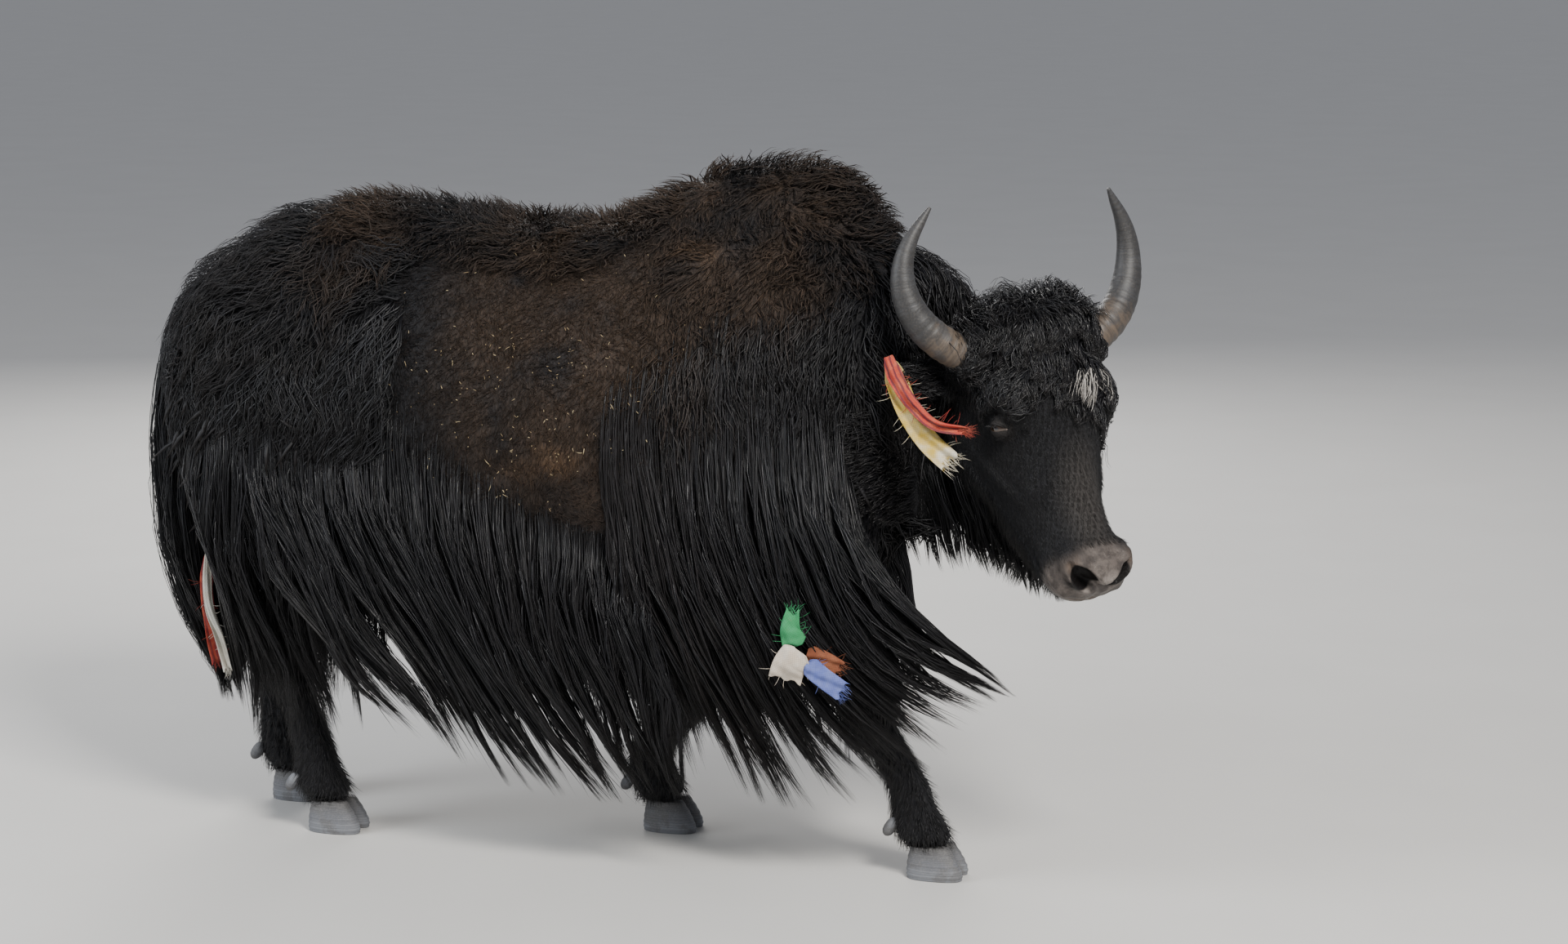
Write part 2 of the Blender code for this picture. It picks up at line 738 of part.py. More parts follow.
def ribbon(points, width, facing, thickness=0.0016, ruffle=0.0, point_end=False):
    """A strip of cloth along points, flat towards facing, made thick by Solidify."""
    rows = spline([tuple(p) for p in points], 2)
    bm = bmesh.new()
    columns = []
    for i, row in enumerate(rows):
        centre = Vector(row)
        way = Vector(rows[min(i + 1, len(rows) - 1)]) - Vector(rows[max(i - 1, 0)])
        across = way.cross(facing).normalized()
        share = i / (len(rows) - 1)
        wide = width * (1 - 0.55 * share if point_end else 1) * min(1, 0.45 + share * 3)
        column = []
        for k in range(4):
            side = k / 1.5 - 1
            fold = ruffle * math.sin(side * 3.5 + share * 5)
            column.append(bm.verts.new(centre + across * wide * side / 2 + facing * fold))
        columns.append(column)
    for one, two in zip(columns, columns[1:]):
        for k in range(3):
            bm.faces.new((one[k], one[k + 1], two[k + 1], two[k]))
    sheet = helper(mesh_of(bm, "ribbon"))
    solid = sheet.modifiers.new("cloth", "SOLIDIFY")
    solid.thickness = thickness
    solid.offset = 0
    made = baked(sheet)
    bpy.data.objects.remove(sheet)
    return made


def ear_ribbons():
    knot = HEAD.at(EAR_ROOT[0], -EAR_ROOT[1], EAR_ROOT[2]) + ear_way(-1) * (EAR_LENGTH + 0.004)
    facing = Vector((0.30, -0.93, 0.10)).normalized()
    red = [knot + Vector(v) for v in (
        (0.004, -0.012, -0.006), (0.035, -0.020, -0.048),
        (0.078, -0.024, -0.086), (0.130, -0.022, -0.094))]
    yellow = [knot + Vector(v) for v in (
        (0.002, -0.004, -0.014), (0.026, -0.010, -0.066),
        (0.062, -0.012, -0.118), (0.104, -0.010, -0.156))]
    return {
        "ear_ribbon_red": (ribbon(red, 0.030, facing, ruffle=0.004, point_end=True), "ribbon_red"),
        "ear_ribbon_yellow": (ribbon(yellow, 0.040, facing, ruffle=0.003), "ribbon_yellow"),
    }


def shoulder_ribbons():
    """A knotted bunch of four cloths tied into the hair over the right forearm."""
    knot = Vector((0.425, -0.366, 0.475))
    facing = Vector((0.22, -0.97, 0.05)).normalized()
    green = [knot + Vector(v) for v in (
        (0.000, -0.005, 0.014), (-0.010, -0.008, 0.045), (-0.006, -0.006, 0.082))]
    white = [knot + Vector(v) for v in (
        (0.010, -0.020, 0.006), (-0.010, -0.024, -0.020), (-0.020, -0.020, -0.048))]
    brown = [knot + Vector(v) for v in (
        (0.018, 0.006, 0.000), (0.045, 0.006, -0.008), (0.080, 0.008, -0.026))]
    blue = [knot + Vector(v) for v in (
        (0.022, -0.010, -0.016), (0.050, -0.012, -0.038), (0.090, -0.011, -0.064))]
    return {
        "shoulder_ribbon_green": (
            ribbon(green, 0.052, facing, ruffle=0.002, point_end=True), "ribbon_green"),
        "shoulder_ribbon_white": (ribbon(white, 0.062, facing, ruffle=0.002), "ribbon_white"),
        "shoulder_ribbon_brown": (ribbon(brown, 0.032, facing, ruffle=0.001), "ribbon_brown"),
        "shoulder_ribbon_blue": (ribbon(blue, 0.038, facing, ruffle=0.001), "ribbon_blue"),
    }


def tail_ribbons():
    """Two cloths tied into the tail's right side."""
    knot = Vector((-0.842, -0.172, 0.555))
    facing = Vector((0.25, -0.96, 0)).normalized()
    red = [knot + Vector(v) for v in (
        (0.000, -0.003, 0.000), (0.000, -0.010, -0.075),
        (0.008, -0.008, -0.150), (0.020, -0.006, -0.215))]
    white = [knot + Vector(v) for v in (
        (0.006, -0.016, 0.006), (0.010, -0.026, -0.090),
        (0.032, -0.024, -0.160), (0.046, -0.020, -0.225))]
    return {
        "tail_ribbon_red": (ribbon(red, 0.026, facing, ruffle=0.002), "ribbon_red"),
        "tail_ribbon_white": (ribbon(white, 0.018, facing, ruffle=0.002), "ribbon_white"),
    }


# Putting the flesh together and parting it


def whole_flesh():
    """Trunk, neck, head, legs and dock as one closed, smooth, faceted body."""
    pieces = [trunk(), neck(), skull(), tail_dock(), *head_lumps()]
    pieces += [
        foreleg(FEET["foreleg_right"], Vector((0.375, -0.165, 0.600)), Vector((0.505, -0.135, 0.345))),
        foreleg(FEET["foreleg_left"], Vector((0.285, 0.165, 0.585)), Vector((0.120, 0.110, 0.335))),
        hindleg(FEET["hindleg_right"], Vector((-0.500, -0.165, 0.600)), Vector((-0.705, -0.135, 0.400))),
        hindleg(FEET["hindleg_left"], Vector((-0.580, 0.165, 0.600)), Vector((-0.860, 0.115, 0.390))),
    ]
    body = helper(merged(pieces, "flesh"))
    join = body.modifiers.new("join", "REMESH")
    join.mode = "VOXEL"
    join.voxel_size = UNION_VOXEL
    smooth = body.modifiers.new("smooth", "SMOOTH")
    smooth.factor = 0.5
    smooth.iterations = SMOOTH_ROUNDS
    fine = baked(body)
    fine.calc_loop_triangles()
    bpy.data.objects.remove(body)
    body = helper(fine)
    thin = body.modifiers.new("facets", "DECIMATE")
    thin.ratio = FLESH_TRIANGLES / len(fine.loop_triangles)
    thin.use_collapse_triangulate = True
    made = baked(body)
    bpy.data.objects.remove(body)
    return made


class Carving:
    """The flesh that is left, and the nodes taken from it by thin cuts."""

    def __init__(self, flesh):
        self.rest = flesh
        self.nodes = {}

    def take(self, name, centre, axes, halves):
        """Takes what lies in a box as a node, and leaves the rest a gap away."""
        inside = combined(self.rest.copy(), block(centre, axes, halves), "INTERSECT")
        self.rest = combined(self.rest, block(centre, axes, halves, GAP), "DIFFERENCE")
        self.nodes[name] = largest_piece(inside)

    def split(self, name, new_name, centre, axes, halves):
        """Takes what lies in a box out of a node that was taken before."""
        whole = self.nodes[name]
        inside = combined(whole.copy(), block(centre, axes, halves), "INTERSECT")
        self.nodes[name] = largest_piece(
            combined(whole, block(centre, axes, halves, GAP), "DIFFERENCE"))
        self.nodes[new_name] = largest_piece(inside)


def head_cut(carving):
    """Head off the neck, then the lower jaw off the head along the mouth."""
    back = HEAD.at(-0.045, 0, -0.12)
    way = (HEAD.along * 0.62 + HEAD.out * 0.78).normalized()
    across = HEAD.left
    up = way.cross(across)
    reach = 0.34
    carving.take("head", back + way * reach - up * 0.06, (way, across, up), (reach, 0.24, 0.46))
    lip = HEAD.at(0.555, 0, -0.128)
    corner = HEAD.at(0.405, 0, -0.150)
    line = (lip - corner).normalized()
    down = HEAD.left.cross(line)
    if down.dot(HEAD.out) > 0:
        down = -down
    carving.split(
        "head", "lower_jaw", corner + line * 0.125 + down * 0.10,
        (line, HEAD.left, down), (0.155, 0.15, 0.10))


def leg_cuts(carving):
    """Each leg off the trunk on a plane that rises outwards, then at its lower joint."""
    places = {
        "foreleg_right": (Vector((0.46, 0, 0.420)), -1, 0.31, 0.275),
        "foreleg_left": (Vector((0.17, 0, 0.420)), 1, 0.30, 0.285),
        "hindleg_right": (Vector((-0.66, 0, 0.450)), -1, 0.27, 0.335),
        "hindleg_left": (Vector((-0.74, 0, 0.450)), 1, 0.27, 0.325),
    }
    slope = math.radians(42)
    upright = Vector((0, 0, 1))
    for name, (spot, side, reach, joint) in places.items():
        across = Vector((0, side * math.cos(slope), math.sin(slope)))
        centre = spot + across * 0.325 - upright * 0.45
        carving.take(
            name + "_upper", centre, (Vector((1, 0, 0)), across, upright), (reach, 0.31, 0.45))
        carving.split(
            name + "_upper", name + "_lower", Vector((spot.x, 0, joint - 0.30)), WORLD_AXES,
            (0.50, 0.60, 0.30))


def part_the_flesh(flesh, dewclaws, eyes, horns, ears):
    """Makes room for the horny parts, then cuts the flesh into its named nodes."""
    for mesh in (*dewclaws, *eyes, *horns, *ears):
        flesh = combined(flesh, grown(mesh), "DIFFERENCE")
    for foot in FEET.values():
        under = foot + Vector((0, 0, CORONET_HEIGHT - 0.10))
        flesh = combined(flesh, block(under, WORLD_AXES, (0.12, 0.10, 0.10), GAP), "DIFFERENCE")
    for side in (-1, 1):
        flesh = combined(flesh, eye_opening(side), "DIFFERENCE")
        flesh = combined(flesh, nostril_opening(side), "DIFFERENCE")
    carving = Carving(flesh)
    head_cut(carving)
    leg_cuts(carving)
    carving.take("tail_dock", Vector((-1.140, 0, 0.90)), WORLD_AXES, (0.20, 0.30, 0.40))
    carving.take("neck", Vector((0.80, 0, 0.85)), WORLD_AXES, (0.275, 0.40, 0.60))
    carving.take("hindquarters", Vector((-0.90, 0, 0.85)), WORLD_AXES, (0.48, 0.50, 0.60))
    carving.take("barrel", Vector((-0.16, 0, 0.85)), WORLD_AXES, (0.26 - GAP, 0.50, 0.60))
    carving.nodes["forequarters"] = largest_piece(carving.rest)
    return carving.nodes


def long_hair():
    """The curtains, each cut back from the ones before it."""
    return {
        "skirt_right": curtain(-1, SKIRT_TOP, SKIRT_BOTTOM, SKIRT_OUT, SKIRT_THICK),
        "skirt_left": curtain(1, SKIRT_TOP, SKIRT_BOTTOM, SKIRT_OUT, SKIRT_THICK),
        "shoulder_fringe_right": curtain(
            -1, SHOULDER_TOP, SHOULDER_BOTTOM_RIGHT, SHOULDER_OUT, SHOULDER_THICK),
        "shoulder_fringe_left": curtain(
            1, SHOULDER_TOP_LEFT, SHOULDER_BOTTOM_LEFT, SHOULDER_OUT, SHOULDER_THICK),
        "thigh_fringe_right": curtain(-1, THIGH_TOP, THIGH_BOTTOM_RIGHT, THIGH_OUT, THIGH_THICK),
        "thigh_fringe_left": curtain(1, THIGH_TOP, THIGH_BOTTOM_LEFT, THIGH_OUT, THIGH_THICK),
        "chest_fringe": chest_fringe(),
        "throat_fringe": throat_fringe(),
        "tail_switch": tail_switch(),
    }


def stand_in_the_middle(objects):
    """Moves everything so that the origin is under the middle of the whole."""
    lows = [min(v.co[i] for obj in objects for v in obj.data.vertices) for i in range(2)]
    highs = [max(v.co[i] for obj in objects for v in obj.data.vertices) for i in range(2)]
    shift = Vector((-(lows[0] + highs[0]) / 2, -(lows[1] + highs[1]) / 2, 0))
    for obj in objects:
        obj.data.transform(Matrix.Translation(shift))


def main():
    claws = {}
    dewclaws = {}
    for name, foot in FEET.items():
        end = name.replace("leg", "")
        for side, word in ((-1, "right"), (1, "left")):
            claws[f"hoof_{end}_{word}_claw"] = claw(foot, side, 4)
            dewclaws[f"dewclaw_{end}_{word}"] = dewclaw(foot, side)
    eyes = {"eye_right": eye(-1), "eye_left": eye(1)}
    horns = {"horn_right": horn(-1), "horn_left": horn(1)}
    ears = {"ear_right": ear(-1), "ear_left": ear(1)}

    flesh = whole_flesh()
    taken = part_the_flesh(
        flesh.copy(), dewclaws.values(), eyes.values(), horns.values(), ears.values())

    cutters = [grown(flesh)]
    hair = {}
    for name, mesh in long_hair().items():
        for cutter in cutters:
            mesh = combined(mesh, cutter.copy(), "DIFFERENCE")
        hair[name] = largest_piece(mesh)
        cutters.append(grown(hair[name]))

    for name, mesh in taken.items():
        object_of(name, mesh, YAK, "coat_brown" if name in ("barrel", "neck") else "coat_black")
    for name, mesh in hair.items():
        object_of(name, mesh, YAK, "coat_black")
    for name, mesh in {**claws, **dewclaws}.items():
        object_of(name, mesh, YAK, "hoof_grey")
    for name, mesh in horns.items():
        object_of(name, mesh, YAK, "horn_grey")
    for name, mesh in ears.items():
        object_of(name, mesh, YAK, "coat_black")
    for name, mesh in eyes.items():
        object_of(name, mesh, YAK, "eye_dark")
    for name, (mesh, slot) in {**ear_ribbons(), **shoulder_ribbons(), **tail_ribbons()}.items():
        object_of(name, mesh, YAK, slot)
    stand_in_the_middle(list(YAK.objects))


clear_scene()
YAK = new_collection("yak", True)
HELPERS = new_collection("helpers", False)
main()
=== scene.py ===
"""A life-size still model of a yak that walks with its head low and turned to its right.

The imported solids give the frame. One skin stands for the flesh, and round it go a coat
of meshed tufts and long locks, the eyes, horns, claws and the cloth ribbons it wears.
"""
import sys
import logging
import math
from dataclasses import dataclass, field
from enum import Enum

import bmesh
import bpy
import numpy as np
from mathutils import Matrix, Vector
from mathutils.bvhtree import BVHTree


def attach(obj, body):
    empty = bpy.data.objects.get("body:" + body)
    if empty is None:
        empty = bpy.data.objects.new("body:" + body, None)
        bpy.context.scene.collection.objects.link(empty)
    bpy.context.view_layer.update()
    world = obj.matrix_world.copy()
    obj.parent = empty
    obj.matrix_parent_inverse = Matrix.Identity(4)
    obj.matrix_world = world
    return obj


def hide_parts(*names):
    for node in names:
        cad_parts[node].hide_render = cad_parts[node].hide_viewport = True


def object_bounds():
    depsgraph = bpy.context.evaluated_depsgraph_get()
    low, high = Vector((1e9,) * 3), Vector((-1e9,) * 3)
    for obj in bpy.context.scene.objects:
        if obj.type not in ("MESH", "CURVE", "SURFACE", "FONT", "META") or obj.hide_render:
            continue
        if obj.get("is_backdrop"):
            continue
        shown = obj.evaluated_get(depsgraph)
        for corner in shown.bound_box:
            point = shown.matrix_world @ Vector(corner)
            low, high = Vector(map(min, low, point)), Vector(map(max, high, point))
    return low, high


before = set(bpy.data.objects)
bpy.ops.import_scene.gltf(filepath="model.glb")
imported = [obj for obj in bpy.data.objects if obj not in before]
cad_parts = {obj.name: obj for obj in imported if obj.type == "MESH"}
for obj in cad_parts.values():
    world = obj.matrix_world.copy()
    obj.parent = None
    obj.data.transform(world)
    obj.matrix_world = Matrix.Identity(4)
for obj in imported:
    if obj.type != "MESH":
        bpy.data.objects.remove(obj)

CAD_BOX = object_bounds()
LOG = logging.getLogger("yak")
Numbers = tuple[float, ...]
Rows = tuple[Numbers, ...]

# The solids were drawn in axes of their own, and then moved so that the middle is at 0
SHIFT = np.array((-0.00852, 0.02234, 0.0))
TURN = 2 * math.pi


class Side(Enum):
    """The animal's own right and left, as the sign of y."""

    RIGHT = -1
    LEFT = 1


class Slot(Enum):
    """The record's material slots."""

    BLACK = "coat_black"
    BROWN = "coat_brown"
    HORN = "horn_grey"
    HOOF = "hoof_grey"
    EYE = "eye_dark"
    RED = "ribbon_red"
    YELLOW = "ribbon_yellow"
    GREEN = "ribbon_green"
    WHITE = "ribbon_white"
    RUST = "ribbon_brown"
    BLUE = "ribbon_blue"


# Small tools for curves, fields of numbers and meshes


def curve(rows: Rows, shares: np.ndarray) -> np.ndarray:
    """Places on a smooth curve through rows.

    Args:
        rows: The rows of numbers that it passes through.
        shares: How far along, from 0 to 1, in an array of any shape.

    Returns:
        An array with one more axis than shares, of the rows' numbers.
    """
    table = np.asarray(rows, float)
    last = len(table) - 1
    reach = np.clip(shares, 0, 1) * last
    i = np.minimum(reach.astype(int), last - 1)
    t = (reach - i)[..., None]
    a, b = table[np.maximum(i - 1, 0)], table[i]
    c, d = table[i + 1], table[np.minimum(i + 2, last)]
    return 0.5 * (2 * b + (c - a) * t + (2 * a - 5 * b + 4 * c - d) * t ** 2
                  + (3 * b - a - 3 * c + d) * t ** 3)


def power(value: np.ndarray, exponent: float) -> np.ndarray:
    """value to a power, with its sign kept."""
    return np.sign(value) * np.abs(value) ** exponent


def unit(vectors: np.ndarray) -> np.ndarray:
    """The same vectors with a length of 1."""
    return vectors / np.maximum(np.linalg.norm(vectors, axis=-1, keepdims=True), 1e-9)


def ease(value: np.ndarray, low: float, high: float) -> np.ndarray:
    """0 below low and 1 above high, with a smooth step between."""
    t = np.clip((value - low) / (high - low), 0, 1)
    return t * t * (3 - 2 * t)


def wander(places: np.ndarray, size: float, rng: np.random.Generator) -> np.ndarray:
    """Smooth numbers about -1 to 1 that change from place to place.

    Args:
        places: Points, with x, y and z on the last axis.
        size: How far apart the changes are, in metres.
        rng: The source of the waves' directions.

    Returns:
        One number for each point.
    """
    total = np.zeros(places.shape[:-1])
    for _ in range(6):
        way = unit(rng.normal(size=3)) * TURN / size * rng.uniform(0.6, 1.5)
        total += np.sin(places @ way + rng.uniform(0, TURN))
    return total / 1.9


def linked(mesh: bpy.types.Mesh, name: str) -> bpy.types.Object:
    """A new object for a mesh, in the scene."""
    made = bpy.data.objects.new(name, mesh)
    bpy.context.scene.collection.objects.link(made)
    return made


def object_from(bm: bmesh.types.BMesh, name: str) -> bpy.types.Object:
    """Turns a bmesh into a smooth-shaded object in the scene, and frees it."""
    mesh = bpy.data.meshes.new(name)
    bm.to_mesh(mesh)
    bm.free()
    mesh.shade_smooth()
    return linked(mesh, name)


def applied(made: bpy.types.Object) -> bpy.types.Object:
    """The object with its modifiers worked into its mesh."""
    dg = bpy.context.evaluated_depsgraph_get()
    mesh = bpy.data.meshes.new_from_object(made.evaluated_get(dg), depsgraph=dg)
    made.modifiers.clear()
    old, made.data = made.data, mesh
    bpy.data.meshes.remove(old)
    return made


def modified(made: bpy.types.Object, kind: str, **settings: object) -> bpy.types.Object:
    """Applies one modifier of a kind, with its settings."""
    modifier = made.modifiers.new(kind.lower(), kind)
    for name, value in settings.items():
        setattr(modifier, name, value)
    return applied(made)


def places_of(mesh: bpy.types.Mesh) -> np.ndarray:
    """The mesh's points, as an array."""
    flat = np.empty(len(mesh.vertices) * 3)
    mesh.vertices.foreach_get("co", flat)
    return flat.reshape(-1, 3)


def normals_of(mesh: bpy.types.Mesh) -> np.ndarray:
    """The way out of the mesh at each point."""
    flat = np.empty(len(mesh.vertices) * 3)
    mesh.vertices.foreach_get("normal", flat)
    return flat.reshape(-1, 3)


def put_places(mesh: bpy.types.Mesh, places: np.ndarray) -> None:
    """Moves the mesh's points to new places."""
    mesh.vertices.foreach_set("co", np.ascontiguousarray(places, float).ravel())
    mesh.update()


def evened(made: bpy.types.Object, times: int, share: np.ndarray | float = 0.5) -> None:
    """Draws each point of a mesh towards the middle of its neighbours.

    Args:
        made: The object.
        times: How often.
        share: How far each time, for each point or for all.
    """
    mesh = made.data
    pairs = np.empty(len(mesh.edges) * 2, np.int32)
    mesh.edges.foreach_get("vertices", pairs)
    one, two = pairs.reshape(-1, 2).T
    count = len(mesh.vertices)
    near = np.maximum(np.bincount(pairs, minlength=count), 1)[:, None]
    places = places_of(mesh)
    share = np.broadcast_to(share, count)[:, None]
    for _ in range(times):
        total = np.stack([np.bincount(one, places[two, k], count)
                          + np.bincount(two, places[one, k], count) for k in range(3)], 1)
        places += (total / near - places) * share
    put_places(mesh, places)


def bridged(rings: list[np.ndarray], bm: bmesh.types.BMesh | None = None,
            course: str = "") -> bmesh.types.BMesh:
    """A closed form through rings of points, made with circles and bridges.

    Args:
        rings: Arrays of points, all with the same count.
        bm: A bmesh to add to, or None for a new one.
        course: The name of a number layer that gets 0 to 1 from ring to ring.

    Returns:
        The bmesh, with the form closed and its faces outwards.
    """
    bm = bm or bmesh.new()
    layer = bm.verts.layers.float.new(course) if course else None
    loops, points = [], []
    for number, ring in enumerate(rings):
        circle = bmesh.ops.create_circle(bm, segments=len(ring), radius=1)["verts"]
        for vert, place in zip(circle, ring):
            vert.co = place
            if layer:
                vert[layer] = number / (len(rings) - 1)
        loops.append(list({e for v in circle for e in v.link_edges}))
        points += circle
    faces = []
    for one, two in zip(loops, loops[1:]):
        faces += bmesh.ops.bridge_loops(bm, edges=one + two)["faces"]
    for ring in (loops[0], loops[-1]):
        faces += bmesh.ops.contextual_create(bm, geom=ring)["faces"]
    bmesh.ops.recalc_face_normals(bm, faces=faces)
    return bm


def lump(bm: bmesh.types.BMesh, centre: np.ndarray, axes: np.ndarray, radii: Numbers) -> None:
    """Adds an egg-shaped form.

    Args:
        bm: The bmesh to add to.
        centre: Its middle.
        axes: Its three axes, one in each row.
        radii: Its half length along each axis.
    """
    turn = Matrix(np.asarray(axes).T.tolist()).to_4x4()
    bmesh.ops.create_uvsphere(
        bm, u_segments=28, v_segments=18, radius=1,
        matrix=Matrix.Translation(Vector(centre)) @ turn @ Matrix.Diagonal((*radii, 1)))


@dataclass(frozen=True)
class Head:
    """The head's own axes: along the face, to its left, and out of the forehead."""

    poll: Numbers = (0.795, -0.090, 1.085)
    turn: float = 41
    dip: float = 55
    roll: float = 4

    @property
    def level(self) -> np.ndarray:
        """The way that the head points, seen from above."""
        turn = math.radians(self.turn)
        return np.array((math.cos(turn), -math.sin(turn), 0))

    @property
    def axes(self) -> np.ndarray:
        """The three axes, one in each row."""
        turn, dip, roll = (math.radians(a) for a in (self.turn, self.dip, self.roll))
        along = self.level * math.cos(dip) - np.array((0, 0, math.sin(dip)))
        left = np.array((math.sin(turn), math.cos(turn), 0))
        left = left * math.cos(roll) + np.cross(along, left) * math.sin(roll)
        return np.array((along, left, np.cross(along, left)))

    @property
    def origin(self) -> np.ndarray:
        """The poll in the frame's axes."""
        return np.array(self.poll) + SHIFT

    def at(self, *place: float) -> np.ndarray:
        """The point that lies so far along, left and out."""
        return self.origin + np.asarray(place) @ self.axes

    def points(self, places: np.ndarray) -> np.ndarray:
        """Many points from their along, left and out numbers."""
        return self.origin + places @ self.axes

    def seen(self, points: np.ndarray) -> np.ndarray:
        """The along, left and out numbers of points."""
        return (points - self.origin) @ self.axes.T

    def eye(self, side: Side) -> np.ndarray:
        """The middle of an eyeball."""
        return self.at(0.197, side.value * 0.108, -0.046)

    def gaze(self, side: Side) -> np.ndarray:
        """Three axes of an eye: out of it, forwards along its slit, and up across it."""
        outwards = unit(self.axes[1] * side.value + self.level * 0.22 + self.axes[2] * 0.10)
        forwards = unit(self.level - outwards * (self.level @ outwards))
        upwards = np.cross(outwards, forwards) * -side.value
        return np.array((outwards, forwards, upwards))


HEAD = Head()


# Shader expressions


class Shade:
    """A value in a shader: one socket, with Python's own operators."""

    def __init__(self, nodes: "Nodes", socket: bpy.types.NodeSocket) -> None:
        """Keeps the socket and the tree that it is in."""
        self.nodes = nodes
        self.socket = socket

    def maths(self, operation: str, *others: object, first: object = None) -> "Shade":
        """One Math node.

        Args:
            operation: Its operation.
            others: What goes in after this value.
            first: What goes in before it, if anything does.

        Returns:
            The node's result.
        """
        values = ([] if first is None else [first]) + [self, *others]
        return self.nodes.node("Math", {"operation": operation}, dict(enumerate(values)))

    def __add__(self, other: object) -> "Shade":
        """This plus other."""
        return self.maths("ADD", other)

    def __radd__(self, other: float) -> "Shade":
        """other plus this."""
        return self.maths("ADD", other)

    def __sub__(self, other: object) -> "Shade":
        """This less other."""
        return self.maths("SUBTRACT", other)

    def __rsub__(self, other: float) -> "Shade":
        """other less this."""
        return self.maths("SUBTRACT", first=other)

    def __mul__(self, other: object) -> "Shade":
        """This times other."""
        return self.maths("MULTIPLY", other)

    def __rmul__(self, other: float) -> "Shade":
        """other times this."""
        return self.maths("MULTIPLY", other)

    def __truediv__(self, other: object) -> "Shade":
        """This over other."""
        return self.maths("DIVIDE", other)

    def __pow__(self, other: float) -> "Shade":
        """This to a power."""
        return self.maths("POWER", other)

    def larger(self, other: object) -> "Shade":
        """The larger of this and other."""
        return self.maths("MAXIMUM", other)

    def step(self, low: float, high: float) -> "Shade":
        """0 at low and 1 at high, with a smooth step between."""
        return self.nodes.node("MapRange", {"interpolation_type": "SMOOTHSTEP"}, {
            "Value": self, "From Min": low, "From Max": high})


class Nodes:
    """The node tree of one material, written as expressions."""

    def __init__(self, name: str) -> None:
        """Starts an empty tree."""
        self.material = bpy.data.materials.new(name)
        self.material.use_nodes = True
        self.tree = self.material.node_tree
        self.tree.nodes.clear()

    def node(self, kind: str, settings: dict | None = None, inputs: dict | None = None,
             out: int | str = 0) -> Shade:
        """Adds any node.

        Args:
            kind: Its type, without Blender's prefix.
            settings: Its own settings, or the stops of a ramp under "stops".
            inputs: Values or links for its sockets, by name or number.
            out: The socket that comes out.

        Returns:
            The socket, wrapped.
        """
        made = self.tree.nodes.new("ShaderNode" + kind)
        for name, value in (settings or {}).items():
            if name == "stops":
                for _ in value[2:]:
                    made.color_ramp.elements.new(1)
                for stop, (place, colour) in zip(made.color_ramp.elements, value):
                    stop.position, stop.color = place, colour
            else:
                setattr(made, name, value)
        for name, value in (inputs or {}).items():
            if isinstance(value, Shade):
                self.tree.links.new(value.socket, made.inputs[name])
            else:
                made.inputs[name].default_value = value
        return Shade(self, made.outputs[out])

    def place(self) -> Shade:
        """Where the surface is, in the object's own axes."""
        return self.node("TexCoord", out="Object")

    def kept(self, name: str, out: str = "Fac") -> Shade:
        """A number or vector that the mesh keeps under a name."""
        return self.node("Attribute", {"attribute_name": name}, out=out)

    def vector(self, operation: str, one: object, two: object, out: int | str = 0) -> Shade:
        """One Vector Math node."""
        return self.node("VectorMath", {"operation": operation}, {0: one, 1: two}, out)

    def joined(self, *parts: object) -> Shade:
        """A vector from three numbers."""
        return self.node("CombineXYZ", None, dict(enumerate(parts)))

    def parted(self, vector: Shade) -> list[Shade]:
        """The three numbers of a vector."""
        made = self.node("SeparateXYZ", None, {0: vector}).socket.node
        return [Shade(self, made.outputs[i]) for i in range(3)]

    def headed(self, place: Shade) -> list[Shade]:
        """A point's numbers in the head's axes."""
        from_poll = self.vector("SUBTRACT", place, tuple(HEAD.origin))
        return [self.vector("DOT_PRODUCT", from_poll, tuple(axis), "Value")
                for axis in HEAD.axes]

    def near(self, place: Shade, centre: Numbers, radii: Numbers, soft: float = 0.5) -> Shade:
        """A soft-edged spot.

        Args:
            place: The point that is looked at.
            centre: The middle of the spot.
            radii: Its half sizes along the three axes.
            soft: The share of its radius that is full.

        Returns:
            1 in the middle and 0 outside.
        """
        offset = self.vector("SUBTRACT", place, tuple(centre))
        scaled = self.vector("DIVIDE", offset, tuple(radii))
        return self.vector("LENGTH", scaled, (0, 0, 0), "Value").step(1, soft)

    def noise(self, place: Shade, scale: float, detail: float = 2, rough: float = 0.5) -> Shade:
        """Cloudy noise from 0 to 1."""
        return self.node("TexNoise", None, {
            "Vector": place, "Scale": scale, "Detail": detail, "Roughness": rough})

    def mix(self, factor: object, one: object, two: object, blend: str = "MIX") -> Shade:
        """A colour between two, as Mix does it."""
        colours = {0: factor, 6: one, 7: two}
        for key in (6, 7):
            if isinstance(colours[key], tuple):
                colours[key] = (*colours[key][:3], 1)
        return self.node("Mix", {"data_type": "RGBA", "blend_type": blend}, colours, 2)

    def surface(self, base: object, roughness: object, height: Shade | None = None,
                depth: float = 0.001, strength: float = 1, **constants: object
                ) -> bpy.types.Material:
        """Ends the tree with a Principled shader.

        Args:
            base: The colour.
            roughness: Its roughness.
            height: A pattern that raises the surface, from 0 to 1.
            depth: How high a height of 1 is, in metres.
            strength: How much of that shows.
            constants: Other sockets' values, with _ for a space.

        Returns:
            The finished material.
        """
        values = {"Base Color": base, "Roughness": roughness}
        if isinstance(base, tuple):
            values["Base Color"] = (*base, 1)
        if height is not None:
            values["Normal"] = self.node("Bump", None, {
                "Height": height, "Distance": depth, "Strength": strength})
        for name, value in constants.items():
            values[name.replace("_", " ")] = value
        shader = self.node("BsdfPrincipled", None, values)
        last = self.tree.nodes.new("ShaderNodeOutputMaterial")
        self.tree.links.new(shader.socket, last.inputs["Surface"])
        return self.material


